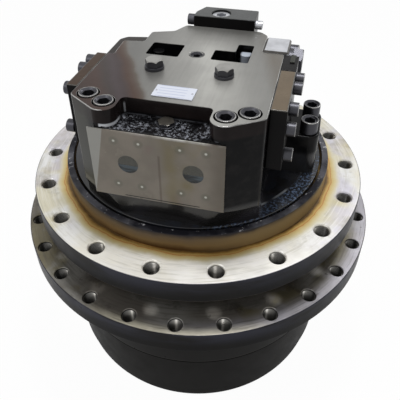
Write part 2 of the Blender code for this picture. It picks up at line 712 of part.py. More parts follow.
def make_hub_housing():
    """The hub: the barrel, the sprocket flange and the collar that hides the face seal."""
    bearing_bore = BEARING_OUTER_RADIUS + SEAT_GAP
    shoulder = BEARING_OUTER_RADIUS - BEARING_SECTION * BEARING_SHOULDER_SHARE
    shoulder_low = LOWER_BEARING_TOP + SEAT_GAP
    shoulder_high = UPPER_BEARING_BOTTOM - SEAT_GAP
    fillet = min(SPROCKET_FILLET, (SPROCKET_FLANGE_RADIUS - BARREL_RADIUS) * FILLET_LIMIT_SHARE)
    collar_fillet = min(COLLAR_FILLET, (SPROCKET_FLANGE_RADIUS - COLLAR_RADIUS) * FILLET_LIMIT_SHARE)
    profile = [
        (COLLAR_RADIUS, COLLAR_TOP),
        (COLLAR_RADIUS, SPROCKET_TOP + collar_fillet), (COLLAR_RADIUS + collar_fillet, SPROCKET_TOP),
        (SPROCKET_FLANGE_RADIUS, SPROCKET_TOP), (SPROCKET_FLANGE_RADIUS, SPROCKET_BOTTOM),
        (BARREL_RADIUS + fillet, SPROCKET_BOTTOM),
        (BARREL_RADIUS, SPROCKET_BOTTOM - fillet), (BARREL_RADIUS, HUB_BOTTOM),
        (bearing_bore, HUB_BOTTOM), (bearing_bore, shoulder_low),
        (shoulder, shoulder_low), (shoulder, shoulder_high), (bearing_bore, shoulder_high),
        (bearing_bore, SEAL_LEDGE), (SEAL_BORE_RADIUS, SEAL_LEDGE), (SEAL_BORE_RADIUS, COLLAR_TOP),
    ]
    hub = turned("hub_housing", profile, "drum_casting")
    low = HUB_BOTTOM - CUT_OVERRUN
    places = circle_places(SPROCKET_HOLE_COUNT, SPROCKET_HOLE_CIRCLE, low, SPROCKET_HOLE_PHASE)
    cut(hub, bars("sprocket_holes", places, SPROCKET_HOLE_RADIUS, COLLAR_TOP + CUT_OVERRUN - low,
                  spin=HALF_SIDE))


def make_main_bearings():
    """Two tapered bearings back to back: inner rings on the spindle, outer rings in the hub."""
    inner_bore = BEARING_BORE_RADIUS + SEAT_GAP
    ring_thickness = BEARING_SECTION * BEARING_RING_SHARE
    lip = BEARING_SECTION * BEARING_LIP_SHARE
    for place, low, wide_share in (("lower", LOWER_BEARING_BOTTOM, 0.0), ("upper", UPPER_BEARING_BOTTOM, 1.0)):
        high = low + BEARING_WIDTH
        taper_low = lip * (1.0 - wide_share)
        taper_high = lip * wide_share
        inner_track = inner_bore + ring_thickness
        inner_ring = [(inner_track - taper_high, high), (inner_track - taper_low, low),
                      (inner_bore, low), (inner_bore, high)]
        turned(f"bearing_inner_{place}", inner_ring, "gear_steel")
        outer_track = BEARING_OUTER_RADIUS - ring_thickness + lip
        outer_ring = [(BEARING_OUTER_RADIUS, high), (BEARING_OUTER_RADIUS, low),
                      (outer_track - taper_low, low), (outer_track - taper_high, high)]
        turned(f"bearing_outer_{place}", outer_ring, "gear_steel")
    nut_radius = BEARING_BORE_RADIUS + BEARING_SECTION * NUT_SECTION_SHARE
    ring("bearing_nut", nut_radius, inner_bore, NUT_BOTTOM, NUT_TOP, "gear_steel")


def make_face_seal():
    """The floating face seal: one ring turns with the hub, the other stands under the frame flange."""
    inner = SEAL_OUTER_RADIUS - SEAL_RING_THICKNESS
    ring("seal_ring_turning", SEAL_BORE_RADIUS - SEAT_GAP, inner, SEAL_TURNING_BOTTOM, SEAL_TURNING_TOP,
         "bright_steel")
    ring("seal_ring_fixed", SEAL_OUTER_RADIUS, SPINDLE_NECK_RADIUS + SEAT_GAP, SEAL_TURNING_TOP + SEAT_GAP,
         FRAME_BOTTOM - SEAT_GAP, "bright_steel")


def make_frame_spindle():
    """The frame flange, its pilot boss and the hollow spindle that the hub turns on."""
    recess_radius = PILOT_RADIUS - PILOT_RIM
    shaft_seat = SHAFT_BEARING_RADIUS + SEAT_GAP
    upper_shoulder = UPPER_BEARING_TOP + SEAT_GAP
    waist_radius = BEARING_BORE_RADIUS + BEARING_SECTION * SPINDLE_WAIST_SHARE
    neck_bottom = SEAL_LEDGE + SPINDLE_NECK_RISE
    profile = [
        (PILOT_RADIUS, PILOT_TOP), (PILOT_RADIUS, FRAME_TOP),
        (FRAME_FLANGE_RADIUS, FRAME_TOP), (FRAME_FLANGE_RADIUS, FRAME_BOTTOM),
        (SPINDLE_NECK_RADIUS, FRAME_BOTTOM), (SPINDLE_NECK_RADIUS, neck_bottom),
        (BEARING_OUTER_RADIUS - SPINDLE_NECK_STEP, neck_bottom),
        (waist_radius, upper_shoulder), (BEARING_BORE_RADIUS, upper_shoulder),
        (BEARING_BORE_RADIUS, SPINDLE_BOTTOM),
        (SPINDLE_SHAFT_HOLE_RADIUS, SPINDLE_BOTTOM), (SPINDLE_SHAFT_HOLE_RADIUS, BEARING_SEAT_FLOOR),
        (shaft_seat, BEARING_SEAT_FLOOR), (shaft_seat, CAVITY_FLOOR), (CAVITY_RADIUS, CAVITY_FLOOR),
        (CAVITY_RADIUS, BRAKE_FLOOR_Z), (BRAKE_BORE_RADIUS, BRAKE_FLOOR_Z), (BRAKE_BORE_RADIUS, RECESS_FLOOR),
        (recess_radius, RECESS_FLOOR), (recess_radius, PILOT_TOP),
    ]
    spindle = turned("frame_spindle", profile, "bare_steel")
    low = FRAME_BOTTOM - CUT_OVERRUN
    places = circle_places(FRAME_HOLE_COUNT, FRAME_HOLE_CIRCLE, low, FRAME_HOLE_PHASE)
    cut(spindle, bars("frame_holes", places, FRAME_HOLE_RADIUS, PILOT_TOP + CUT_OVERRUN - low, spin=HALF_SIDE))
    depth = HEAD_SCREW_BITE + SCREW_CLEARANCE
    anchors = [(x, y, RECESS_FLOOR - depth) for x, y in HEAD_SCREW_PLACES + lug_screw_places()]
    cut(spindle, bars("anchor_holes", anchors, HEAD_SCREW_SHANK_RADIUS + SCREW_CLEARANCE, depth + CUT_OVERRUN))


def lug_screw_places():
    return ((LUG_REACH, -LUG_HALF_SPACING), (LUG_REACH, LUG_HALF_SPACING))


def planet(name, teeth, bore, low, high, x, y, phase):
    """A planet gear whose origin lies on its own pin."""
    outline = gear_outline(teeth, phase, PLAIN_FLANK_SHARES)
    return plate(name, [outline, circle(bore, SMALL_STEPS)], 0, high - low, "gear_steel", (x, y, low))


def make_stage_1():
    """First stage: the sun gear on the motor shaft, three planets and their carrier."""
    distance = centre_distance(SUN_1_TEETH, PLANET_1_TEETH)
    sun_low = COVER_HEIGHT - THRUST_PAD_POCKET_DEPTH + THRUST_PAD_HEIGHT + RUNNING_GAP
    stem_top = SPINDLE_BOTTOM - SEAT_GAP
    phase = sun_phase(SUN_1_TEETH, PLANET_1_TEETH)
    outline = gear_outline(SUN_1_TEETH, phase, FINE_FLANK_SHARES)
    sun = plate("sun_gear_1", [outline], sun_low, STAGE_1_TOP, "gear_steel")
    middle = (sun_low + STAGE_1_TOP) / 2
    spigot_top = stem_top + SUN_SPIGOT_LENGTH
    stem = [(0, spigot_top), (SUN_SPIGOT_RADIUS, spigot_top), (SUN_SPIGOT_RADIUS, stem_top),
            (SUN_STEM_RADIUS, stem_top), (SUN_STEM_RADIUS, middle), (0, middle)]
    join(sun, turned("sun_1_stem", stem, steps=SMALL_STEPS, solid=True))
    for number, (x, y, height) in enumerate(circle_places(PLANET_1_COUNT, distance, STAGE_1_BOTTOM), 1):
        turn = planet_phase(2 * math.pi * (number - 1) / PLANET_1_COUNT, SUN_1_TEETH, PLANET_1_TEETH)
        planet(f"planet_1_{number}", PLANET_1_TEETH, PIN_1_RADIUS + PIN_CLEARANCE, STAGE_1_BOTTOM, STAGE_1_TOP,
               x, y, turn)
    lobes = lobed_outline(PLANET_1_COUNT, distance, CARRIER_1_LOBE_RADIUS, CARRIER_1_WAIST_RADIUS)
    bore = circle(SUN_2_BORE_RADIUS, SMALL_STEPS)
    carrier = plate("carrier_1", [lobes, bore], CARRIER_1_BOTTOM, CARRIER_1_TOP, "gear_steel")
    pins = circle_places(PLANET_1_COUNT, distance, STAGE_1_BOTTOM)
    reach = CARRIER_1_BOTTOM + CARRIER_1_THICKNESS / 2 - STAGE_1_BOTTOM
    join(carrier, bars("carrier_1_pins", pins, PIN_1_RADIUS, reach, sides=SMALL_STEPS))


def make_stage_2():
    """Second stage: its sun gear turns with the first carrier, its own carrier stands on the spindle."""
    distance = centre_distance(SUN_2_TEETH, PLANET_2_TEETH)
    outline = gear_outline(SUN_2_TEETH, sun_phase(SUN_2_TEETH, PLANET_2_TEETH), FINE_FLANK_SHARES)
    bore = circle(SUN_2_BORE_RADIUS, SMALL_STEPS)
    plate("sun_gear_2", [outline, bore], CARRIER_1_TOP + SEAT_GAP, STAGE_2_TOP, "gear_steel")
    for number, (x, y, height) in enumerate(circle_places(PLANET_2_COUNT, distance, STAGE_2_BOTTOM), 1):
        turn = planet_phase(2 * math.pi * (number - 1) / PLANET_2_COUNT, SUN_2_TEETH, PLANET_2_TEETH)
        planet(f"planet_2_{number}", PLANET_2_TEETH, PIN_2_RADIUS + PIN_CLEARANCE, STAGE_2_BOTTOM, STAGE_2_TOP,
               x, y, turn)
    lobes = lobed_outline(PLANET_2_COUNT, distance, CARRIER_2_LOBE_RADIUS, CARRIER_2_WAIST_RADIUS)
    hole = circle(CARRIER_2_BORE_RADIUS, SMALL_STEPS)
    top = SPINDLE_BOTTOM - SEAT_GAP
    carrier = plate("carrier_2", [lobes, hole], CARRIER_2_BOTTOM, top, "gear_steel")
    pins = circle_places(PLANET_2_COUNT, distance, STAGE_2_BOTTOM)
    reach = (CARRIER_2_BOTTOM + top) / 2 - STAGE_2_BOTTOM
    join(carrier, bars("carrier_2_pins", pins, PIN_2_RADIUS, reach, sides=SMALL_STEPS))


def make_motor_shaft():
    """The shaft runs in a bearing in the spindle's end wall and in one in the head."""
    top = FOOT_BOTTOM + SHAFT_TOP_LENGTH - SEAT_GAP
    socket_bottom = SPINDLE_BOTTOM - SEAT_GAP
    socket_top = socket_bottom + SUN_SPIGOT_LENGTH + 2 * SEAT_GAP
    shoulder = SHAFT_RADIUS + SHAFT_SHOULDER
    profile = [
        (0, top), (SHAFT_TOP_RADIUS, top), (SHAFT_TOP_RADIUS, FOOT_BOTTOM - SEAT_GAP),
        (SHAFT_RADIUS, FOOT_BOTTOM - SEAT_GAP), (SHAFT_RADIUS, CYLINDER_BLOCK_TOP),
        (SHAFT_SPLINE_RADIUS, CYLINDER_BLOCK_TOP), (SHAFT_SPLINE_RADIUS, CYLINDER_BLOCK_BOTTOM),
        (shoulder, CYLINDER_BLOCK_BOTTOM), (shoulder, CAVITY_FLOOR), (SHAFT_RADIUS, CAVITY_FLOOR),
        (SHAFT_RADIUS, socket_bottom + SEAT_GAP), (SUN_SPIGOT_RADIUS + SEAT_GAP, socket_bottom + SEAT_GAP),
        (SUN_SPIGOT_RADIUS + SEAT_GAP, socket_top), (0, socket_top),
    ]
    turned("motor_shaft", profile, "bright_steel", SMALL_STEPS, solid=True)
    seat_low = BEARING_SEAT_FLOOR + SEAT_GAP
    small_bearing("shaft_bearing_lower", SHAFT_BEARING_RADIUS, SHAFT_RADIUS + RUNNING_GAP, seat_low,
                  CAVITY_FLOOR - SEAT_GAP)
    upper_low = FOOT_BOTTOM + SEAT_GAP
    small_bearing("shaft_bearing_upper", UPPER_BEARING_RADIUS, SHAFT_TOP_RADIUS + RUNNING_GAP, upper_low,
                  upper_low + UPPER_BEARING_WIDTH)


def small_bearing(name, outer, inner, low, high):
    """A shaft bearing drawn whole, with a bevelled rim."""
    profile = [(outer - SHAFT_BEARING_LIP, high), (outer, high - SHAFT_BEARING_LIP), (outer, low),
               (inner, low), (inner, high)]
    turned(name, profile, "gear_steel", MEDIUM_STEPS)


def make_swash_plate():
    """The swash plate: a flat running face over a cradle back, drawn at zero tilt."""
    half = SWASH_RADIUS
    drop = SWASH_HEIGHT - SWASH_RIM_HEIGHT
    radius = (half * half + drop * drop) / (2 * drop)
    reach = math.asin(half / radius)
    back = arc((0, radius), radius, -math.pi / 2 - reach, -math.pi / 2 + reach, SWASH_ARC_POINTS)
    outline = back + [(half, SWASH_HEIGHT), (-half, SWASH_HEIGHT)]
    swash = plate("swash_plate", [outline], -half, half, "bright_steel", (0, 0, SWASH_BOTTOM))
    swash.rotation_euler = (math.pi / 2, 0, 0)
    cut(swash, bars("swash_bore", [(0, 0, SWASH_BOTTOM - CUT_OVERRUN)], SWASH_BORE_RADIUS,
                    SWASH_HEIGHT + 2 * CUT_OVERRUN, sides=SMALL_STEPS))
    outside = ring("swash_outside", half * 2, half, SWASH_BOTTOM - CUT_OVERRUN, SWASH_TOP + CUT_OVERRUN,
                   steps=MEDIUM_STEPS)
    cut(swash, outside)


def make_pistons():
    """The nine pistons with their shoes, held together by the retainer plate."""
    retainer_low = SHOE_BOTTOM + SHOE_HEIGHT
    retainer_high = retainer_low + RETAINER_THICKNESS
    pistons = ring("piston_set", RETAINER_RADIUS, RETAINER_BORE_RADIUS, retainer_low, retainer_high,
                   "gear_steel", MEDIUM_STEPS)
    shoe_places = circle_places(PISTON_COUNT, PISTON_CIRCLE, SHOE_BOTTOM)
    join(pistons, bars("shoes", shoe_places, SHOE_RADIUS, SHOE_HEIGHT + RETAINER_THICKNESS / 2))
    rod_places = circle_places(PISTON_COUNT, PISTON_CIRCLE, retainer_low + RETAINER_THICKNESS / 2)
    join(pistons, bars("piston_rods", rod_places, PISTON_RADIUS, PISTON_LENGTH))


def make_cylinder_block():
    """The cylinder block: bored from below for the pistons and ported from above."""
    bore = circle(SHAFT_SPLINE_RADIUS + SEAT_GAP, SMALL_STEPS)
    block = plate("cylinder_block", [circle(BLOCK_RADIUS, MEDIUM_STEPS), bore], CYLINDER_BLOCK_BOTTOM,
                  CYLINDER_BLOCK_TOP, "gear_steel")
    bore_places = circle_places(PISTON_COUNT, PISTON_CIRCLE, CYLINDER_BLOCK_BOTTOM - CUT_OVERRUN)
    bore_depth = BLOCK_HEIGHT - BLOCK_PORT_DEPTH
    cut(block, bars("cylinders", bore_places, PISTON_RADIUS + PISTON_CLEARANCE, bore_depth + CUT_OVERRUN))
    port_places = circle_places(PISTON_COUNT, PISTON_CIRCLE, CYLINDER_BLOCK_TOP - 2 * BLOCK_PORT_DEPTH)
    cut(block, bars("cylinder_ports", port_places, BLOCK_PORT_RADIUS, 2 * BLOCK_PORT_DEPTH + CUT_OVERRUN,
                    sides=HEX_SIDES))


def kidney(side):
    """A curved port through the valve plate, on one side of the shaft."""
    middle = 0 if side > 0 else math.pi
    start, end = middle - KIDNEY_HALF_ANGLE, middle + KIDNEY_HALF_ANGLE
    outside = arc((0, 0), KIDNEY_OUTER_RADIUS, start, end, KIDNEY_ARC_POINTS)
    return outside + arc((0, 0), KIDNEY_INNER_RADIUS, end, start, KIDNEY_ARC_POINTS)


def make_valve_plate():
    """The valve plate on the head's seat, with one kidney port for each oil side."""
    outlines = [circle(VALVE_PLATE_RADIUS, MEDIUM_STEPS), circle(VALVE_PLATE_BORE_RADIUS, SMALL_STEPS)]
    outlines += [kidney(1), kidney(-1)]
    plate("valve_plate", outlines, VALVE_PLATE_BOTTOM, VALVE_PLATE_TOP, "bronze")


def make_brake():
    """The parking brake: a steel plate between two friction discs, pressed by a ring piston."""
    height = BRAKE_FLOOR_Z
    for name, outer, inner, thickness, finish in (
        ("friction_disc_1", BRAKE_DISC_RADIUS, BLOCK_RADIUS + SEAT_GAP, BRAKE_DISC_THICKNESS, "friction"),
        ("brake_plate", BRAKE_BORE_RADIUS - RUNNING_GAP, BRAKE_PLATE_BORE_RADIUS, BRAKE_PLATE_THICKNESS, "gear_steel"),
        ("friction_disc_2", BRAKE_DISC_RADIUS, BLOCK_RADIUS + SEAT_GAP, BRAKE_DISC_THICKNESS, "friction"),
    ):
        low = height + SEAT_GAP
        ring(name, outer, inner, low, low + thickness, finish, MEDIUM_STEPS)
        height = low + thickness
    low = height + SEAT_GAP
    ring("brake_piston", BRAKE_BORE_RADIUS - RUNNING_GAP, BRAKE_PISTON_BORE_RADIUS, low,
         low + BRAKE_PISTON_HEIGHT, "bright_steel", MEDIUM_STEPS)


def head_outline():
    """The head in plan, from its front left corner round to the stepped tail."""
    return [
        (-HEAD_FRONT_HALF, -HEAD_FRONT), (HEAD_FRONT_HALF, -HEAD_FRONT), (HEAD_HALF_WIDTH, -HEAD_SHOULDER),
        (HEAD_HALF_WIDTH, HEAD_SIDE_REAR), (HEAD_TAIL_RIGHT, HEAD_SIDE_REAR),
        (HEAD_TAIL_RIGHT, HEAD_TAIL_REAR - HEAD_TAIL_BEVEL), (HEAD_TAIL_RIGHT - HEAD_TAIL_BEVEL, HEAD_TAIL_REAR),
        (-HEAD_TAIL_LEFT, HEAD_TAIL_REAR), (-HEAD_STEP_INNER, HEAD_STEP_FAR), (-HEAD_STEP_OUTER, HEAD_STEP_NEAR),
        (-HEAD_STEP_OUTER, HEAD_STEP_REAR), (-HEAD_WING_OUTER, HEAD_WING_REAR), (-HEAD_WING_NOTCH, -HEAD_WING_FRONT),
        (-HEAD_HALF_WIDTH, -HEAD_WING_FRONT), (-HEAD_HALF_WIDTH, -HEAD_SHOULDER),
    ]


def boss_outline():
    """The rounded casting boss in plan, behind the left wing of the head and a little below its top."""
    return [
        (-BOSS_ROOT, -BOSS_FRONT), (-BOSS_ROOT, BOSS_REAR), (-BOSS_REAR_OFFSET, BOSS_REAR),
        (-BOSS_CORNER, BOSS_CORNER_REAR), (-BOSS_OUTER, BOSS_SIDE_REAR), (-BOSS_OUTER, -BOSS_FRONT),
    ]


def recess_outline():
    """The front recess between the screw lobes, open to the front, with round corners inside and out."""
    front = -HEAD_FRONT - CUT_OVERRUN
    right_end = RECESS_RIGHT + LOBE_CORNER_RADIUS
    left_end = RECESS_LEFT + LOBE_CORNER_RADIUS
    lobe_y = -HEAD_FRONT + LOBE_CORNER_RADIUS
    inner_y = -RECESS_BACK - RECESS_CORNER_RADIUS
    lobe_right = arc((right_end, lobe_y), LOBE_CORNER_RADIUS, -math.pi / 2, -math.pi, LOBE_CORNER_POINTS)
    right = arc((RECESS_RIGHT - RECESS_CORNER_RADIUS, inner_y), RECESS_CORNER_RADIUS, 0, math.pi / 2,
                RECESS_CORNER_POINTS)
    left = arc((-RECESS_LEFT + RECESS_CORNER_RADIUS, inner_y), RECESS_CORNER_RADIUS, math.pi / 2, math.pi,
               RECESS_CORNER_POINTS)
    lobe_left = arc((-left_end, lobe_y), LOBE_CORNER_RADIUS, 0, -math.pi / 2, LOBE_CORNER_POINTS)
    return [(-left_end, front), (right_end, front)] + lobe_right + right + left + lobe_left


def pocket_right_outline():
    """The stepped pocket right of the middle."""
    return [
        (POCKET_RIGHT_NEAR, -POCKET_RIGHT_FRONT), (POCKET_RIGHT_FAR, -POCKET_RIGHT_FRONT),
        (POCKET_RIGHT_FAR, POCKET_RIGHT_REAR), (POCKET_RIGHT_STEP, POCKET_RIGHT_REAR),
        (POCKET_RIGHT_STEP, POCKET_RIGHT_MIDDLE), (POCKET_RIGHT_NEAR, POCKET_RIGHT_MIDDLE),
    ]


def lug_outline():
    """The lug in plan: round about its two screws and rooted in the head's side."""
    lower = arc((LUG_REACH, -LUG_HALF_SPACING), LUG_RADIUS, -math.pi / 2, 0, LUG_ARC_POINTS)
    upper = arc((LUG_REACH, LUG_HALF_SPACING), LUG_RADIUS, 0, math.pi / 2, LUG_ARC_POINTS)
    half = LUG_HALF_SPACING + LUG_RADIUS
    return [(LUG_ROOT, -half)] + lower + upper + [(LUG_ROOT, half)]


def make_head_block():
    """The valve head: a stepped block over a round foot that sits in the spindle's pilot boss."""
    body_bottom = PILOT_TOP - HEAD_FOOT_THICKNESS / 2
    neck_top = PILOT_TOP + HEAD_NECK_HEIGHT
    head = plate("head_block", [head_outline()], body_bottom, HEAD_TOP, "dark_casting")
    outside = HEAD_FRONT + HEAD_HALF_WIDTH
    neck_radius = HEAD_FOOT_RADIUS - HEAD_NECK_STEP
    neck = [(outside, neck_top + HEAD_NECK_SLOPE), (outside, body_bottom - CUT_OVERRUN),
            (neck_radius, body_bottom - CUT_OVERRUN), (neck_radius, neck_top),
            (neck_radius + HEAD_NECK_SLOPE, neck_top + HEAD_NECK_SLOPE)]
    cut(head, turned("neck_outside", neck))
    seat_radius = HEAD_SEAT_RADIUS
    foot = [(0, PILOT_TOP), (HEAD_FOOT_RADIUS, PILOT_TOP), (HEAD_FOOT_RADIUS, FOOT_BOTTOM),
            (seat_radius, FOOT_BOTTOM), (seat_radius, HEAD_SEAT_FACE), (0, HEAD_SEAT_FACE)]
    join(head, turned("head_foot", foot, solid=True))
    lug_top = PILOT_TOP + LUG_HEIGHT
    join(head, plate("head_lug", [lug_outline()], body_bottom, lug_top))
    boss_top = HEAD_TOP - BOSS_DROP
    join(head, plate("head_boss", [boss_outline()], boss_top - BOSS_HEIGHT, boss_top))
    above = HEAD_TOP + CUT_OVERRUN
    cut(head, plate("front_recess", [recess_outline()], HEAD_TOP - RECESS_DEPTH, above))
    pocket_floor = HEAD_TOP - POCKET_DEPTH
    cut(head, box("pocket_left", (-POCKET_LEFT_FAR, -POCKET_LEFT_FRONT, pocket_floor),
                  (-POCKET_LEFT_NEAR, POCKET_LEFT_REAR, above)))
    cut(head, plate("pocket_right", [pocket_right_outline()], pocket_floor, above))
    cut_head_screw_holes(head, above)
    cut_head_ports(head)
    cut_head_plug_holes(head, above)
    seat = [(0, 0, HEAD_SEAT_FACE - CUT_OVERRUN)]
    pocket_height = FOOT_BOTTOM + SHAFT_TOP_LENGTH + SEAT_GAP - HEAD_SEAT_FACE
    cut(head, bars("bearing_pocket", seat, UPPER_BEARING_RADIUS + SEAT_GAP, pocket_height + CUT_OVERRUN,
                   sides=MEDIUM_STEPS))
    reach = HEAD_HALF_WIDTH + CUT_OVERRUN
    cut(head, bars("spool_bore", [(-reach, -SPOOL_SETBACK, HEAD_TOP - SPOOL_DROP)],
                   SPOOL_RADIUS + SPOOL_BORE_CLEARANCE, 2 * reach, (1, 0, 0), SMALL_STEPS))


def cut_head_screw_holes(head, above):
    """Long holes with counterbores at the front corners and two holes through the lug."""
    under_head = HEAD_TOP - HEAD_SCREW_DEPTH - HEAD_SCREW_HEAD_HEIGHT - SEAT_GAP
    low = FOOT_BOTTOM - CUT_OVERRUN
    bores = [(x, y, under_head) for x, y in HEAD_SCREW_PLACES]
    cut(head, bars("counterbores", bores, COUNTERBORE_RADIUS, above - under_head, sides=SMALL_STEPS))
    holes = [(x, y, low) for x, y in HEAD_SCREW_PLACES]
    cut(head, bars("head_screw_holes", holes, HEAD_SCREW_SHANK_RADIUS + SCREW_CLEARANCE,
                   under_head + CUT_OVERRUN - low))
    lug_holes = [(x, y, low) for x, y in lug_screw_places()]
    cut(head, bars("lug_screw_holes", lug_holes, LUG_SCREW_SHANK_RADIUS + SCREW_CLEARANCE,
                   PILOT_TOP + LUG_HEIGHT + CUT_OVERRUN - low))


def cut_head_ports(head):
    """Two main ports with four flange screw holes each, and a small drain port between them."""
    front = -HEAD_FRONT - CUT_OVERRUN
    inward = (0, 1, 0)
    ports = [(side * PORT_SPREAD, front, PORT_Z) for side in (-1, 1)]
    cut(head, bars("ports", ports, PORT_RADIUS, PORT_DEPTH + CUT_OVERRUN, inward, PORT_SIDES))
    screws = [(x + right * PORT_SCREW_SPREAD, front, z + up * PORT_SCREW_RISE)
              for x, y, z in ports for right in (-1, 1) for up in (-1, 1)]
    cut(head, bars("port_screw_holes", screws, PORT_SCREW_RADIUS, PORT_SCREW_DEPTH + CUT_OVERRUN, inward))
    drain = [(0, front, PORT_Z + DRAIN_PORT_RISE)]
    cut(head, bars("drain_port", drain, DRAIN_PORT_RADIUS, PORT_SCREW_DEPTH + CUT_OVERRUN, inward))


def cut_head_plug_holes(head, above):
    """Holes for the hexagonal plugs on the top and the ledge, and for the socket plug."""
    bottom = HEAD_TOP - HEX_PLUG_LENGTH - SEAT_GAP
    places = [(x, y, bottom) for name, x, y in HEX_PLUG_TOP_PLACES]
    cut(head, bars("plug_holes", places, HEX_PLUG_SHANK_RADIUS + SEAT_GAP, above - bottom, sides=SMALL_STEPS))
    ledge = HEAD_TOP - RECESS_DEPTH
    front_bottom = ledge - HEX_PLUG_LENGTH - SEAT_GAP
    front_place = [(HEX_PLUG_FRONT_OFFSET, -HEAD_FRONT + HEX_PLUG_FRONT_SETBACK, front_bottom)]
    cut(head, bars("front_plug_hole", front_place, HEX_PLUG_FRONT_SHANK_RADIUS + SEAT_GAP, above - front_bottom,
                   sides=SMALL_STEPS))
    x, y = SOCKET_PLUG_OFFSET, -SOCKET_PLUG_FRONT
    socket_bottom = HEAD_TOP - SOCKET_PLUG_LENGTH - SEAT_GAP
    cut(head, bars("socket_plug_hole", [(x, y, socket_bottom)], SOCKET_PLUG_RADIUS + SEAT_GAP,
                   above - socket_bottom, sides=SMALL_STEPS))


def make_head_fasteners():
    """The screws that hold the head on the spindle, and the plugs in its top."""
    anchor = RECESS_FLOOR - HEAD_SCREW_BITE
    top = HEAD_TOP - HEAD_SCREW_DEPTH
    for number, place in enumerate(HEAD_SCREW_PLACES, 1):
        socket_screw(f"head_screw_{number}", place, top, HEAD_SCREW_HEAD_RADIUS, HEAD_SCREW_HEAD_HEIGHT,
                     HEAD_SCREW_SHANK_RADIUS, anchor)
    lug_top = PILOT_TOP + LUG_HEIGHT + SEAT_GAP + LUG_SCREW_HEAD_HEIGHT
    for number, place in enumerate(lug_screw_places(), 1):
        socket_screw(f"lug_screw_{number}", place, lug_top, LUG_SCREW_HEAD_RADIUS, LUG_SCREW_HEAD_HEIGHT,
                     LUG_SCREW_SHANK_RADIUS, anchor)
    for name, x, y in HEX_PLUG_TOP_PLACES:
        hex_plug(name, (x, y), HEAD_TOP, HEX_PLUG_RADIUS, HEX_PLUG_HEAD_HEIGHT, HEX_PLUG_SHANK_RADIUS)
    front_place = (HEX_PLUG_FRONT_OFFSET, -HEAD_FRONT + HEX_PLUG_FRONT_SETBACK)
    hex_plug("hex_plug_front", front_place, HEAD_TOP - RECESS_DEPTH, HEX_PLUG_FRONT_RADIUS, HEX_PLUG_FRONT_HEIGHT,
             HEX_PLUG_FRONT_SHANK_RADIUS)
    x, y = SOCKET_PLUG_OFFSET, -SOCKET_PLUG_FRONT
    low = HEAD_TOP - SOCKET_PLUG_LENGTH
    depth = SOCKET_PLUG_LENGTH * SOCKET_DEPTH_SHARE
    plug = bars("socket_plug", [(x, y, low)], SOCKET_PLUG_RADIUS, SOCKET_PLUG_LENGTH - SEAT_GAP,
                sides=SMALL_STEPS, finish="black_screw")
    cut(plug, bars("socket_plug_socket", [(x, y, HEAD_TOP - depth)], SOCKET_PLUG_RADIUS * SOCKET_SHARE,
                   depth + CUT_OVERRUN, sides=HEX_SIDES))


def make_spool_and_covers():
    """The counterbalance spool across the head, and the end caps that hold its springs."""
    axis_place = (0, -SPOOL_SETBACK, HEAD_TOP - SPOOL_DROP)
    half = SPOOL_HALF_LENGTH
    radii = (SPOOL_NECK_RADIUS, SPOOL_RADIUS)
    profile = [(0, half), (SPOOL_NECK_RADIUS, half)]
    for index, share in enumerate(SPOOL_LAND_SHARES):
        profile += [(radii[index % 2], half * share), (radii[(index + 1) % 2], half * share)]
    profile += [(radius, -height) for radius, height in reversed(profile)]
    spool = turned("counterbalance_spool", profile, "bright_steel", SMALL_STEPS, axis_place, solid=True)
    spool.rotation_euler = (0, math.pi / 2, 0)
    low = HEAD_TOP - SIDE_COVER_HEIGHT
    start = HEAD_HALF_WIDTH + SEAT_GAP
    right = box("side_cover_right", (start, -RIGHT_COVER_FRONT, low),
                (start + RIGHT_COVER_THICKNESS, RIGHT_COVER_REAR, HEAD_TOP), "dark_casting")
    left = box("side_cover_left", (-start - LEFT_COVER_THICKNESS, -LEFT_COVER_FRONT, low),
               (-start, LEFT_COVER_REAR, HEAD_TOP), "dark_casting")
    for cover, side in ((right, 1), (left, -1)):
        place = (side * (start - CUT_OVERRUN), axis_place[1], axis_place[2])
        cut(cover, bars(cover.name + "_pocket", [place], SPRING_POCKET_RADIUS, SPRING_POCKET_DEPTH + CUT_OVERRUN,
                        (side, 0, 0), SMALL_STEPS))


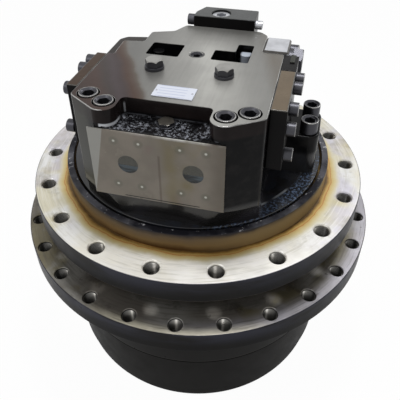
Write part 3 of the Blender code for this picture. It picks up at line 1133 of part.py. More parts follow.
def make_rear_block():
    """The valve block on the head's tail, with its plugs."""
    front = HEAD_TAIL_REAR + SEAT_GAP
    rear = front + BLOCK_REAR_DEPTH
    outline = [(-BLOCK_REAR_LEFT, front), (BLOCK_REAR_RIGHT, front), (BLOCK_REAR_RIGHT, rear),
               (-BLOCK_REAR_LEFT + BLOCK_REAR_CORNER_WIDTH, rear),
               (-BLOCK_REAR_LEFT, rear - BLOCK_REAR_CORNER_LENGTH)]
    top = HEAD_TOP + BLOCK_REAR_RISE
    block = plate("rear_valve_block", [outline], top - BLOCK_REAR_HEIGHT, top, "dark_casting")
    plug_x, plug_y = BLOCK_PLUG_OFFSET, front + BLOCK_PLUG_SETBACK
    plug_top = top - BLOCK_PLUG_SINK
    plug_low = plug_top - BLOCK_PLUG_LENGTH
    hole_low = plug_low - SEAT_GAP
    cut(block, bars("block_plug_hole", [(plug_x, plug_y, hole_low)], BLOCK_PLUG_RADIUS + SEAT_GAP,
                    top - hole_low + CUT_OVERRUN, sides=SMALL_STEPS))
    plug = bars("rear_block_plug", [(plug_x, plug_y, plug_low)], BLOCK_PLUG_RADIUS, BLOCK_PLUG_LENGTH,
                sides=SMALL_STEPS, finish="bright_steel")
    depth = BLOCK_PLUG_LENGTH * SOCKET_DEPTH_SHARE
    cut(plug, bars("block_plug_socket", [(plug_x, plug_y, plug_top - depth)], BLOCK_PLUG_RADIUS * SOCKET_SHARE,
                   depth + CUT_OVERRUN, sides=HEX_SIDES))
    height = top - END_PLUG_DROP
    y = front + END_PLUG_SETBACK
    for name, side, face, radius, finish in (
        ("rear_end_plug_left", -1, BLOCK_REAR_LEFT, END_PLUG_LEFT_RADIUS, "black_screw"),
        ("rear_end_plug_right", 1, BLOCK_REAR_RIGHT, END_PLUG_RIGHT_RADIUS, "bright_steel"),
    ):
        side_plug(block, name, (side * face, y, height), side, radius, radius * END_PLUG_SHANK_SHARE,
                  END_PLUG_REACH, END_PLUG_BITE, SMALL_STEPS, finish)


def side_plug(carrier, name, face_place, side, head_radius, shank_radius, reach, bite, sides, finish):
    """A plug that points sideways: its head stands on the carrier's face and its shank fills a hole."""
    x, y, z = face_place
    direction = (side, 0, 0)
    hole = [(x - side * (bite + SEAT_GAP), y, z)]
    cut(carrier, bars(name + "_hole", hole, shank_radius + SEAT_GAP, bite + SEAT_GAP + CUT_OVERRUN, direction,
                      SMALL_STEPS))
    plug = bars(name, [(x + side * SEAT_GAP, y, z)], head_radius, reach, direction, sides, finish)
    join(plug, bars(name + "_shank", [(x - side * bite, y, z)], shank_radius, bite + reach / 2, direction,
                    SMALL_STEPS))


def make_relief_valve():
    """The relief valve in the notch behind the head's right side, with its hexagonal cartridge."""
    low_x = HEAD_TAIL_RIGHT + SEAT_GAP
    low_y = HEAD_SIDE_REAR + SEAT_GAP
    top = HEAD_TOP + RELIEF_RISE
    body = box("relief_valve_body", (low_x, low_y, top - RELIEF_HEIGHT),
               (low_x + RELIEF_WIDTH, low_y + RELIEF_DEPTH, top), "bright_steel")
    face = (low_x + RELIEF_WIDTH, low_y + CARTRIDGE_SETBACK, top - CARTRIDGE_DROP)
    side_plug(body, "relief_cartridge", face, 1, CARTRIDGE_RADIUS, CARTRIDGE_RADIUS * CARTRIDGE_SHANK_SHARE,
              CARTRIDGE_LENGTH, CARTRIDGE_BITE, HEX_SIDES, "black_screw")


def make_port_film():
    """The protective film over the port face."""
    near = -HEAD_FRONT - SEAT_GAP
    box("port_film", (-FILM_LEFT, near - FILM_THICKNESS, PORT_Z - FILM_DROP),
        (FILM_RIGHT, near, PORT_Z + FILM_RISE), "film")


def main():
    clear_scene()
    new_collection(BODY_COLLECTION)
    new_collection(CUTTER_COLLECTION).hide_render = True
    make_end_cover()
    make_ring_gear()
    make_hub_housing()
    make_main_bearings()
    make_face_seal()
    make_frame_spindle()
    make_stage_1()
    make_stage_2()
    make_motor_shaft()
    make_swash_plate()
    make_pistons()
    make_cylinder_block()
    make_valve_plate()
    make_brake()
    make_head_block()
    make_head_fasteners()
    make_spool_and_covers()
    make_rear_block()
    make_relief_valve()
    make_port_film()
    shade_pieces()


main()
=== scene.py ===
"""Looks of the excavator final drive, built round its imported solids.

The turned flanges and the drum, the cast valve head, its covers, valves, screws and plugs are modelled
fine here and stand for the plain solids. The gears, the motor and the brake inside keep their solids
and take their finishes here.
"""

import math

import bmesh
import bpy
from bpy.props import FloatProperty, FloatVectorProperty, IntProperty, PointerProperty
from mathutils import Matrix, Vector


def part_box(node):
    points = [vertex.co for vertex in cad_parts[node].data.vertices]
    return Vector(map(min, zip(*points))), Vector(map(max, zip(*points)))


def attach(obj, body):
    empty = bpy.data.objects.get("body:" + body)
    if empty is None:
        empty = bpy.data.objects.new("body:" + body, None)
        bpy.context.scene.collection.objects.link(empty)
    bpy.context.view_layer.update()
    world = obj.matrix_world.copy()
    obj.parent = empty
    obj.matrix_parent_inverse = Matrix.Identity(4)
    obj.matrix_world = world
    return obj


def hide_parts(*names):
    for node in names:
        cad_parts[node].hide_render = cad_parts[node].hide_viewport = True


bl_info = {
    "name": "Excavator final drive",
    "version": (1, 0, 0),
    "blender": (4, 5, 0),
    "location": "View3D > Sidebar > Final drive",
    "description": "Builds the looks of a hydraulic travel drive on its packed frame",
    "category": "Object",
}

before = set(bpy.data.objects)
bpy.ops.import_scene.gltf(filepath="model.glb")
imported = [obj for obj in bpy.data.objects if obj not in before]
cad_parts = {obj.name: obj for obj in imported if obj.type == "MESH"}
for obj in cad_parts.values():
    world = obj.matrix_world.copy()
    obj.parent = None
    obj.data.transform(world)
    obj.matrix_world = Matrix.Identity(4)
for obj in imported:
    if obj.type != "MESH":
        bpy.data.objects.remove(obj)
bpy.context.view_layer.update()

# Heights of the main faces, read from the solids, and the steps between them
COVER_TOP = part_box("end_cover")[1].z
DRUM_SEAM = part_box("hub_housing")[0].z
COLLAR_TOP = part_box("hub_housing")[1].z
PILOT_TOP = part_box("frame_spindle")[1].z
HEAD_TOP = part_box("head_block")[1].z
COLLAR_HEIGHT = 0.035
SPROCKET_THICKNESS = 0.035
PILOT_HEIGHT = 0.030
FRAME_THICKNESS = 0.0345
SPROCKET_TOP = COLLAR_TOP - COLLAR_HEIGHT
SPROCKET_BOTTOM = SPROCKET_TOP - SPROCKET_THICKNESS
FRAME_TOP = PILOT_TOP - PILOT_HEIGHT
FRAME_BOTTOM = FRAME_TOP - FRAME_THICKNESS

# Radii of the turned parts
DRUM_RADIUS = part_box("ring_gear")[1].x
SPROCKET_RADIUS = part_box("hub_housing")[1].x
FRAME_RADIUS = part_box("frame_spindle")[1].x
COVER_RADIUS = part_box("end_cover")[1].x
FOOT_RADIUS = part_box("head_block")[1].x
BARREL_RADIUS = 0.232
COLLAR_RADIUS = 0.212
PILOT_RADIUS = 0.2065

# Inside of the frame spindle and of the hub: radii, and the heights at which they change
NECK_RADIUS, NECK_FOOT = 0.170, 0.274
BEARING_SHOULDER, BEARING_SEAT, SHOULDER_FOOT = 0.142, 0.128, 0.2523
SHAFT_BORE, SHAFT_BEARING = 0.032, 0.0453
MOTOR_BORE, MOTOR_MOUTH, MOTOR_LEDGE = 0.104, 0.114, 0.2892
HEAD_SEAT, HEAD_SEAT_DEPTH = 0.197, 0.0243
HUB_BEARING, HUB_SHOULDER, HUB_SHOULDER_LOW, HUB_SHOULDER_HIGH = 0.1683, 0.158, 0.1869, 0.2157
SEAL_POCKET, SEAL_FLOOR = 0.190, 0.270

# Threaded holes: count, radius of their circle, angle of the first, and the two faces of the flange
FRAME_HOLES = (18, 0.240, math.radians(10), FRAME_TOP, FRAME_BOTTOM)
SPROCKET_HOLES = (26, 0.2676, math.radians(1), SPROCKET_TOP, SPROCKET_BOTTOM)
FRAME_THREAD = 0.0305
SPROCKET_THREAD = 0.031
THREAD_START = 0.002
FINE_PITCH_SHARE = 0.85

# Plan of the valve head, metres from the drive axis
HEAD_OUTLINE = (
    (-0.080, -0.1825), (0.080, -0.1825), (0.122, -0.155), (0.122, 0.019), (0.0905, 0.019), (0.0905, 0.0785),
    (0.0785, 0.0905), (-0.040, 0.0905), (-0.052, 0.064), (-0.085, 0.052), (-0.085, 0.016), (-0.116, 0.0115),
    (-0.113, -0.034), (-0.122, -0.034), (-0.122, -0.155),
)
BOSS_OUTLINE = (
    (-0.070, -0.033), (-0.070, 0.040), (-0.088, 0.040), (-0.1185, 0.034), (-0.1275, 0.0225), (-0.1275, -0.033),
)
LUG_OUTLINE = ((0.112, -0.038), (0.186, -0.038), (0.186, 0.038), (0.112, 0.038))
RIGHT_POCKET = (
    (0.024, -0.0212), (0.0766, -0.0212), (0.0766, 0.037), (0.0536, 0.037), (0.0536, 0.011), (0.024, 0.011),
)
HEAD_FRONT = -0.1825
LEDGE = HEAD_TOP - 0.0246
POCKET_FLOOR = HEAD_TOP - 0.040
HEAD_SCREWS = ((-0.101, -0.147), (-0.075, -0.161), (0.075, -0.161), (0.101, -0.147))
LUG_SCREWS = ((0.170, -0.022), (0.170, 0.022))
SOCKET_PLUG = (0.002, -0.010)
COLUMNS = ((-0.0605, 0.0085), (0.0665, 0.0265))
COVER_REAR = -0.030

# Screws of the side covers: place along Y, and height over the frame flange
CAP_SCREWS = {
    "right": ((-0.020, 0.174), (-0.046, 0.174), (-0.100, 0.174), (-0.119, 0.157), (-0.119, 0.119)),
    "left": ((-0.045, 0.180), (-0.070, 0.180), (-0.116, 0.174), (-0.127, 0.122)),
}
# Hexagonal plugs: place, distance from the middle to a corner, and height
HEX_PLUGS = {
    "hex_plug_left": ((-0.0425, -0.064, HEAD_TOP), 0.0125, 0.013),
    "hex_plug_right": ((0.053, -0.065, HEAD_TOP), 0.0125, 0.013),
    "hex_plug_front": ((0.002, -0.158, LEDGE), 0.0108, 0.0055),
}
# Socket screws: radius and height of the head, radius and length of the shank
HEAD_SCREW = (0.0124, 0.0213, 0.0085, 0.183)
LUG_SCREW = (0.0125, 0.020, 0.0080, 0.112)
CAP_SCREW = (0.0088, 0.0115, 0.0050, 0.008)
END_SCREW = (0.0100, 0.010, 0.006, 0.004)
# Holes: radius, depth and countersink
HEAD_SCREW_SEAT = (0.0144, 0.0202, 0.0003)
SOCKET_PLUG_SEAT = (0.0103, 0.0122, 0.0012)
PORT_HOLE = (0.0150, 0.045, 0.0012)
BOLT_HOLE = (0.0062, 0.022, 0.0010)
DRAIN_HOLE = (0.0055, 0.022, 0.0010)
END_SCREW_SEAT = (0.011, 0.013, 0.0008)
LEVEL_PLUG_SEAT = (0.0177, 0.0072, 0.0008)
REAR_PLUG_SEAT = (0.0148, 0.0193, 0.0010)

# Ports in the head's front, with four flange screw holes each, and the spool across the head
PORT_Z = PILOT_TOP + 0.086
PORT_ASIDE = 0.0418
BOLT_ASIDE = 0.0159
BOLT_UP = 0.0333
SPOOL_Y = -0.085
SPOOL_Z = HEAD_TOP - 0.047
SPOOL_BORE = 0.0153

UP = (0, 0, 1)
ROUND = 2 * math.pi
HAIR = 0.00001
# How far cutters reach past the face that they enter, and how far a seated piece stands off its seat
OVERCUT = 0.004
LIFT = 0.0003


def length(name, description, default):
    """A size that the user can change, in metres."""
    return FloatProperty(name=name, description=description, default=default, unit="LENGTH")


def tone(name, description, default):
    """A colour that the user can change, in linear values."""
    return FloatVectorProperty(name=name, description=description, default=default, subtype="COLOR", size=3)


class DriveSizes(bpy.types.PropertyGroup):
    """Sizes of the fine detail."""

    turning_steps: IntProperty(
        name="Turning steps", description="Facets round the large turned parts", default=144, min=32
    )
    edge_round: length("Edge rounding", "Rounding of machined edges", 0.0014)
    frame_hole: length("Frame hole radius", "Threaded holes of the frame flange", 0.0112)
    sprocket_hole: length("Sprocket hole radius", "Threaded holes of the sprocket flange", 0.0096)
    hole_chamfer: length("Hole chamfer", "Countersink at the mouth of a threaded hole", 0.0016)
    thread_pitch: length("Thread pitch", "Distance from one thread to the next", 0.0026)


class DriveColours(bpy.types.PropertyGroup):
    """Colours of the finishes."""

    pale_steel: tone("Pale steel", "Turned face of the frame flange", (0.62, 0.585, 0.455))
    oil_stain: tone("Oil stain", "Golden brown oil round the pilot boss", (0.25, 0.14, 0.035))
    rim_steel: tone("Rim steel", "Rims of the two flanges", (0.005, 0.005, 0.007))
    sprocket_steel: tone("Sprocket steel", "Top face of the sprocket flange", (0.17, 0.155, 0.135))
    drum: tone("Drum", "Dark drum of the gearbox", (0.013, 0.0125, 0.012))
    black_paint: tone("Black paint", "Glossy paint on the head's casting", (0.004, 0.004, 0.0045))
    top_steel: tone("Head top", "Milled top face of the head", (0.22, 0.218, 0.205))
    top_tint: tone("Head top tint", "Brown oil tint on the left of the head's top", (0.040, 0.022, 0.017))
    cover_top: tone("Cover top", "Bare edge of the side covers", (0.165, 0.13, 0.092))
    film: tone("Film", "Protective film over the ports", (0.30, 0.265, 0.22))


def sizes():
    return bpy.context.scene.drive_sizes


def colours():
    return bpy.context.scene.drive_colours


# Shapes


def spun(profile, steps, closed=True):
    """A solid turned about Z from (radius, height) points that run down its outer side."""
    build = bmesh.new()
    verts = [build.verts.new((radius, 0, height)) for radius, height in profile]
    edges = [build.edges.new(pair) for pair in zip(verts, verts[1:])]
    if closed:
        edges.append(build.edges.new((verts[-1], verts[0])))
    bmesh.ops.spin(
        build, geom=verts + edges, axis=UP, cent=(0, 0, 0), angle=ROUND, steps=steps, use_merge=True,
    )
    bmesh.ops.remove_doubles(build, verts=build.verts, dist=HAIR)
    bmesh.ops.recalc_face_normals(build, faces=build.faces)
    return build


def softened(profile, radius, skip=()):
    """The profile with its corners rounded, apart from those numbered in skip and those on the axis."""
    result = []
    for index, (x, z) in enumerate(profile):
        corner = Vector((x, z))
        before = Vector(profile[index - 1]) - corner
        after = Vector(profile[(index + 1) % len(profile)]) - corner
        reach = min(radius, before.length * 0.45, after.length * 0.45)
        if index in skip or x < 0.0001 or reach < 0.0002:
            result.append((x, z))
            continue
        start = corner + before.normalized() * reach
        end = corner + after.normalized() * reach
        for share in (0, 1 / 3, 2 / 3, 1):
            point = start * (1 - share) ** 2 + corner * 2 * share * (1 - share) + end * share ** 2
            result.append((point.x, point.y))
    return result


def top_edges(build, height):
    """Edges that lie at the top of a shape."""
    return [e for e in build.edges if min(v.co.z for v in e.verts) > height - HAIR]


def foot_edges(build, height):
    """Edges that lie at the foot of a shape."""
    return [e for e in build.edges if max(v.co.z for v in e.verts) < height + HAIR]


def raised(build, faces, rise):
    """Draws flat faces up into a solid."""
    region = bmesh.ops.extrude_face_region(build, geom=faces)
    tops = [item for item in region["geom"] if isinstance(item, bmesh.types.BMVert)]
    bmesh.ops.translate(build, verts=tops, vec=(0, 0, rise))
    bmesh.ops.recalc_face_normals(build, faces=build.faces)
    return build


def prism(outline, low, high, corner=0.0, rim=0.0, segments=4):
    """An upright solid from a plan outline, with rounded corners and top rim."""
    build = bmesh.new()
    raised(build, [build.faces.new([build.verts.new((x, y, low)) for x, y in outline])], high - low)
    if corner:
        upright = [e for e in build.edges if abs(e.verts[0].co.z - e.verts[1].co.z) > (high - low) / 2]
        soften_edges(build, upright, corner, segments)
    if rim:
        soften_edges(build, top_edges(build, high), rim)
    return build


def filled_band(outlines, low, high):
    """A solid between plan outlines, the first of which is the outer one."""
    build = bmesh.new()
    edges = []
    for outline in outlines:
        verts = [build.verts.new((x, y, low)) for x, y in outline]
        edges += [build.edges.new((verts[n - 1], verts[n])) for n in range(len(verts))]
    bmesh.ops.triangle_fill(build, use_beauty=True, use_dissolve=False, edges=edges)
    return raised(build, build.faces[:], high - low)


def soften_edges(build, edges, offset, segments=3):
    """Rounds edges, or chamfers them where there is one segment."""
    bmesh.ops.bevel(
        build, geom=edges, offset=offset, offset_type="OFFSET", segments=segments, profile=0.5, affect="EDGES",
        clamp_overlap=True, material=-1,
    )


def block(low, high, rounding=0.0, segments=3):
    """A box between two corners with all its edges rounded."""
    low, high = Vector(low), Vector(high)
    build = bmesh.new()
    bmesh.ops.create_cube(build, size=1)
    bmesh.ops.scale(build, verts=build.verts, vec=high - low)
    bmesh.ops.translate(build, verts=build.verts, vec=(high + low) / 2)
    if rounding:
        soften_edges(build, build.edges[:], rounding, segments)
    return build


def pole(radius, length, sides=32, chamfer=0.0, low_chamfer=0.0):
    """An upright round or six-sided bar from the origin, chamfered at its ends."""
    build = bmesh.new()
    bmesh.ops.create_cone(build, cap_ends=True, segments=sides, radius1=radius, radius2=radius, depth=length)
    bmesh.ops.translate(build, verts=build.verts, vec=(0, 0, length / 2))
    if chamfer:
        soften_edges(build, top_edges(build, length), chamfer, 2)
    if low_chamfer:
        soften_edges(build, foot_edges(build, 0), low_chamfer, 2)
    return build


def bend(centre, radius, start, end, count):
    """Points of an arc in plan between two angles in degrees."""
    angles = [math.radians(start + (end - start) * n / count) for n in range(count + 1)]
    return [(centre[0] + radius * math.cos(a), centre[1] + radius * math.sin(a)) for a in angles]


def ring_places(count, radius, height, phase=0.0):
    """Points spread evenly round the drive axis."""
    angles = [phase + ROUND * n / count for n in range(count)]
    return [Vector((radius * math.cos(a), radius * math.sin(a), height)) for a in angles]


def standing(place, axis=UP, turn=0.0):
    """The matrix that stands an upright shape at a place, along an axis."""
    tilt = Vector(UP).rotation_difference(Vector(axis)).to_matrix().to_4x4()
    return Matrix.Translation(Vector(place)) @ tilt @ Matrix.Rotation(turn, 4, "Z")


def mesh_of(name, build):
    """The mesh of a finished shape, which is freed."""
    mesh = bpy.data.meshes.new(name)
    build.to_mesh(mesh)
    build.free()
    return mesh


def copies(master, places):
    """One solid from a shape and the matrices of its copies."""
    mesh = mesh_of("copies", master)
    build = bmesh.new()
    for matrix in places:
        start = len(build.verts)
        build.from_mesh(mesh)
        build.verts.ensure_lookup_table()
        bmesh.ops.transform(build, matrix=matrix, verts=build.verts[start:])
    bpy.data.meshes.remove(mesh)
    return build


def placed(master, *places, axis=UP, turn=0.0):
    """The shape at each of its places, turned along an axis."""
    return copies(master, [standing(place, axis, turn) for place in places])


def joined(*parts):
    """Several shapes in one bmesh, each still its own shell."""
    build = bmesh.new()
    for part in parts:
        mesh = mesh_of("part", part)
        build.from_mesh(mesh)
        bpy.data.meshes.remove(mesh)
    return build


def loose_object(name, data):
    """An object in the scene that holds the data, at the origin."""
    item = bpy.data.objects.new(name, data)
    bpy.context.scene.collection.objects.link(item)
    return item


def carved(build, *cutters, operation="DIFFERENCE"):
    """The solid after an exact Boolean with each cutter in turn."""
    solid = loose_object("carved", mesh_of("carved", build))
    tools = [loose_object("cutter", mesh_of("cutter", cutter)) for cutter in cutters]
    for tool in tools:
        modifier = solid.modifiers.new("Cut", "BOOLEAN")
        modifier.solver = "EXACT"
        modifier.operation = operation
        modifier.object = tool
    bpy.context.view_layer.update()
    mesh = bpy.data.meshes.new_from_object(solid.evaluated_get(bpy.context.evaluated_depsgraph_get()))
    result = bmesh.new()
    result.from_mesh(mesh)
    spent = [item.data for item in (solid, *tools)]
    for item in (solid, *tools):
        bpy.data.objects.remove(item)
    for data in (mesh, *spent):
        bpy.data.meshes.remove(data)
    if not result.verts:
        raise RuntimeError("a Boolean left nothing of the solid")
    return result


def mark(build, low, steep=0.2, flat=0.97, beyond=0.0):
    """Gives the sloping faces above a height, such as chamfers, the piece's second finish, often worn bare edges
    that also stand for a painted highlight.
    """
    build.normal_update()
    for face in build.faces:
        middle = face.calc_center_median()
        if middle.z > low and steep < abs(face.normal.z) < flat and middle.xy.length >= beyond:
            face.material_index = 1
    return build


def add_piece(name, build, finish, replaced=(), body="spindle", sharp=40, edges=None):
    """Makes the finished mesh a piece that rides on a body and stands for its solids."""
    mesh = mesh_of(name, build)
    for look in (finish, edges):
        if look:
            mesh.materials.append(finish_named(look))
    mesh.shade_smooth()
    mesh.set_sharp_from_angle(angle=math.radians(sharp))
    piece = loose_object(name, mesh)
    weights = piece.modifiers.new("Weighted normals", "WEIGHTED_NORMAL")
    weights.keep_sharp = True
    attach(piece, body)
    if replaced:
        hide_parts(*replaced)
    return piece


def hole_cutter(radius, depth, chamfer, sides=24, both=False):
    """A drill with a countersink at its top, and at its bottom where both is set. Its mouth lies at z 0."""
    over = 0.002
    mouth = radius + chamfer
    top = [(0, over), (mouth, over), (mouth, 0), (radius, -chamfer)]
    bottom = [(radius, -depth), (0, -depth)]
    if both:
        bottom = [(radius, -depth + chamfer), (mouth, -depth), (mouth, -depth - over), (0, -depth - over)]
    return spun(top + bottom, sides, closed=False)


def thread_lining(radius, depth, pitch):
    """The ribbed wall of a threaded hole, down from its mouth at z 0."""
    turns = int(depth / pitch)
    rib = pitch * 0.42
    back = radius + 0.0004
    inner = []
    for turn in range(turns):
        inner += [(radius, -depth + turn * pitch), (radius - rib, -depth + (turn + 0.5) * pitch)]
    mouth = -depth + turns * pitch
    return spun([(back, mouth), (back, -depth), *inner, (radius, mouth)], 24)


def threaded(build, holes, radius, depth, pitch):
    """The flange with its through holes, and the threads that line them."""
    count, circle, phase, top, bottom = holes
    places = ring_places(count, circle, top, phase)
    drill = hole_cutter(radius, top - bottom, sizes().hole_chamfer, both=True)
    sunk = [place - Vector((0, 0, THREAD_START)) for place in places]
    return carved(build, placed(drill, *places)), placed(thread_lining(radius, depth, pitch), *sunk)


# Finishes


def feed(tree, node, values):
    """A constant goes straight on its input, a pattern or another node's output is linked to it."""
    for name, value in values.items():
        socket = node.inputs[name]
        if isinstance(value, (Pattern, bpy.types.NodeSocket)):
            tree.links.new(getattr(value, "socket", value), socket)
        else:
            socket.default_value = (*value, 1.0) if socket.type == "RGBA" else value


def add_node(tree, kind, values=(), operation=None):
    """A new shader node with its inputs fed."""
    node = tree.nodes.new("ShaderNode" + kind)
    if operation:
        node.operation = operation
    feed(tree, node, dict(values))
    return node


def worked(operation, swapped=False):
    """A method that joins two patterns, or a pattern and a number, in a math node."""
    def method(self, other=0.0):
        pair = (other, self) if swapped else (self, other)
        return self.finish.math(operation, *pair)
    return method


class Pattern:
    """A value or colour that varies over a surface. Ordinary arithmetic on it adds nodes."""

    def __init__(self, finish, socket):
        self.finish = finish
        self.socket = socket

    __add__ = worked("ADD")
    __sub__ = worked("SUBTRACT")
    __rsub__ = worked("SUBTRACT", swapped=True)
    __mul__ = worked("MULTIPLY")
    __truediv__ = worked("DIVIDE")
    __or__ = worked("MAXIMUM")
    __abs__ = worked("ABSOLUTE")
    sine = worked("SINE")

    def rise(self, low, high):
        """Rises smoothly from 0 at low to 1 at high."""
        node = self.finish.node("MapRange", {"Value": self, "From Min": low, "From Max": high})
        node.interpolation_type = "SMOOTHSTEP"
        return Pattern(self.finish, node.outputs["Result"])

    def fall(self, low, high):
        """Falls smoothly from 1 at low to 0 at high."""
        return 1.0 - self.rise(low, high)

    def band(self, start, first, last, end):
        """Rises to 1 from the start to the first value and falls to 0 from the last to the end."""
        return self.rise(start, first) * self.fall(last, end)

    def share(self, start, length):
        """Rises evenly from 0 at the start to 1 at the end of the length."""
        return self.finish.math("DIVIDE", self - start, length, clamp=True)

    def far(self, other):
        """Distance from the point where both patterns are 0."""
        return self.finish.math("SQRT", self * self + other * other)

    def ramp(self, *stops):
        """Colours along the pattern, from (place, colour) stops."""
        node = self.finish.node("ValToRGB", {0: self})
        elements = node.color_ramp.elements
        while len(elements) < len(stops):
            elements.new(0.5)
        for element, (place, color) in zip(elements, stops):
            element.position = place
            element.color = (*color, 1.0)
        return Pattern(self.finish, node.outputs[0])


class Finish:
    """One procedural material: a Principled shader and the pattern nodes that feed it."""

    def __init__(self, name, metallic, roughness):
        self.material = bpy.data.materials.new(name)
        self.material.use_nodes = True
        self.tree = self.material.node_tree
        self.shader = self.tree.nodes["Principled BSDF"]
        self.place = self.node("TexCoord").outputs["Object"]
        split = self.node("SeparateXYZ", {0: self.place})
        self.x, self.y, self.z = [Pattern(self, socket) for socket in split.outputs]
        self.axis = self.x.far(self.y)
        self.take({"Metallic": metallic, "Roughness": roughness})

    def node(self, kind, values=(), operation=None):
        return add_node(self.tree, kind, values, operation)

    def take(self, values):
        """Gives the shader its inputs."""
        feed(self.tree, self.shader, values)

    def math(self, operation, a, b=0.0, clamp=False):
        node = self.node("Math", {0: a, 1: b}, operation)
        node.use_clamp = clamp
        return Pattern(self, node.outputs[0])

    def noise(self, scale, detail=4.0, rough=0.55, stretch=(1, 1, 1), shift=(0, 0, 0), distortion=0.0, place=None):
        mapping = self.node("Mapping", {"Vector": place or self.place, "Scale": stretch, "Location": shift})
        node = self.node("TexNoise", {"Vector": mapping.outputs[0], "Scale": scale, "Detail": detail,
                                      "Roughness": rough, "Distortion": distortion})
        return Pattern(self, node.outputs["Fac"])

    def arcs(self, fine, along, shift):
        """Noise drawn out along circles round the drive axis, like the marks of a lathe."""
        node = self.node("CombineXYZ", {0: self.axis * fine, 1: self.x / self.axis * along,
                                        2: self.y / self.axis * along})
        return self.noise(1.0, 3.0, shift=(shift, 0, 0), place=node.outputs[0]).rise(0.5, 0.66)

    def layers(self, base, *coats):
        """The base colour under coats of (share, colour), the last on top."""
        for share, color in coats:
            node = self.node("Mix")
            node.data_type = "RGBA"
            feed(self.tree, node, {"Factor": share, 6: base, 7: color})
            base = Pattern(self, node.outputs[2])
        return base

    def gloss(self, specular, metallic=None):
        """Strength of the clear reflection, and metallic share, as constants or patterns."""
        self.shader.inputs["Specular IOR Level"].default_value = 0.1
        self.take({"Specular IOR Level": specular})
        if metallic:
            self.take({"Metallic": metallic})

    def surface(self, color, share, low, high, height, strength, depth):
        """Colour, roughness between two limits and a bump. Returns the finished material."""
        self.take({"Base Color": color, "Roughness": share * (high - low) + low})
        if height:
            bump = self.node("Bump", {"Strength": strength, "Distance": depth, "Height": height})
            self.take({"Normal": bump.outputs[0]})
        return self.material


def shade(color, factor):
    """The colour made darker or lighter."""
    return tuple(min(1.0, part * factor) for part in color)


def turned_marks(finish, pitch):
    """Fine rings that a lathe tool leaves, as a height pattern about the drive axis."""
    return (finish.axis * (ROUND / pitch)).sine() * 0.35 + finish.noise(900, 2.0)


def frame_steel():
    """Pale turned steel with cream, lilac and grey patches, painted light at the front, an oil stain round the
    pilot boss and dark rims.
    """
    tones = colours()
    base = tuple(tones.pale_steel)
    finish = Finish("frame_steel", 0.35, 0.34)
    x, y, z, axis, noise, layers = finish.x, finish.y, finish.z, finish.axis, finish.noise, finish.layers
    front = y.fall(-0.21, -0.09) * x.rise(-0.18, -0.04)
    face = layers(
        base,
        (noise(9).rise(0.42, 0.58), (0.70, 0.70, 0.69)),
        (noise(13, shift=(2, 5, 0)).rise(0.50, 0.64) * 0.8, (0.50, 0.44, 0.24)),
        (noise(10, 3.0, shift=(7, 0, 3)).rise(0.50, 0.64) * 0.7, (0.50, 0.48, 0.57)),
        (noise(16, 5.0, 0.65, shift=(1, 9, 2)).rise(0.52, 0.66) * 0.5, (0.27, 0.255, 0.22)),
        (noise(34, 6.0, 0.7).rise(0.58, 0.66) * 0.4, shade(base, 0.5)),
        (noise(150, 5.0, 0.6).rise(0.58, 0.75) * 0.35, shade(base, 0.5)),
        # Painted light: the front of the face, and its outer edge there, paler where light falls on them
        (front * 0.8, (0.95, 0.93, 0.88)),
        (front * axis.rise(0.254, 0.270) * 0.7, (0.88, 0.87, 0.95)),
        (finish.arcs(330, 5, 2) * 0.3, shade(base, 0.62)),
        (finish.arcs(420, 4, 8) * 0.3, (0.84, 0.83, 0.82)),
    )
    reach = (axis + (noise(14, 6.0, 0.6) - 0.5) * 0.020).share(PILOT_RADIUS, 0.024)
    stain = reach.ramp(
        (0.0, (0.13, 0.078, 0.028)), (0.07, tones.oil_stain), (0.16, (0.40, 0.25, 0.07)),
        (0.24, (0.50, 0.34, 0.11)), (0.29, (0.40, 0.17, 0.045)), (0.34, (0.52, 0.38, 0.14)),
        (0.5, (0.56, 0.47, 0.25)), (0.8, (0.61, 0.57, 0.42)))
    climb = z.share(FRAME_TOP, PILOT_HEIGHT) + (noise(22) - 0.5) * 0.5
    wall_tone = layers(
        climb.ramp((0.05, (0.07, 0.035, 0.012)), (0.35, (0.18, 0.115, 0.05)), (0.7, (0.14, 0.10, 0.06)),
                   (0.95, (0.04, 0.035, 0.035))),
        (x.rise(0.02, 0.14) * climb.fall(0.6, 1.0), (0.235, 0.165, 0.078)))
    # Pilot ring top: dark steel with grey patches and fine specks of painted glint
    ring_tone = layers((0.012, 0.012, 0.016), (noise(14).rise(0.4, 0.62), (0.11, 0.11, 0.125)),
                       (noise(120, 4.0, 0.7).rise(0.60, 0.68), (0.42, 0.42, 0.44)))
    wall = z.rise(FRAME_TOP + 0.0004, FRAME_TOP + 0.0012)
    ring = z.rise(PILOT_TOP - 0.0012, PILOT_TOP - 0.0004)
    rim = axis.rise(FRAME_RADIUS - 0.0016, FRAME_RADIUS - 0.0006)
    # Painted shade: the flange's underside and the faces below it are dark
    inside = z.fall(FRAME_BOTTOM + 0.001, FRAME_BOTTOM + 0.002)
    face = layers(face, (reach.fall(0.55, 0.95), stain), (wall, wall_tone), (ring, ring_tone),
                  (rim, rim_tone(finish, FRAME_TOP)), (inside, (0.05, 0.045, 0.04)))
    pale = 1.0 - ((rim | ring) | (wall | inside))
    finish.gloss(pale * 0.4 + 0.05, pale * 0.35)
    return finish.surface(face, noise(60), 0.24, 0.46, turned_marks(finish, 0.0011), 0.12, 0.0004)


def rim_tone(finish, top):
    """Dark steel of a flange's rim, a little bluish, and lighter towards its upper edge with a painted highlight.
    """
    noise, layers = finish.noise, finish.layers
    patches = noise(10, 3.0, stretch=(1, 1, 4)).rise(0.35, 0.65)
    # Painted highlight, strongest at the rim's upper edge
    lit = layers((0.040, 0.041, 0.055), (patches, (0.018, 0.017, 0.017)))
    dark = tuple(colours().rim_steel)
    return layers(dark, (noise(18, 3.0), (0.013, 0.012, 0.010)), ((finish.z - top).rise(-0.030, 0.0), lit))


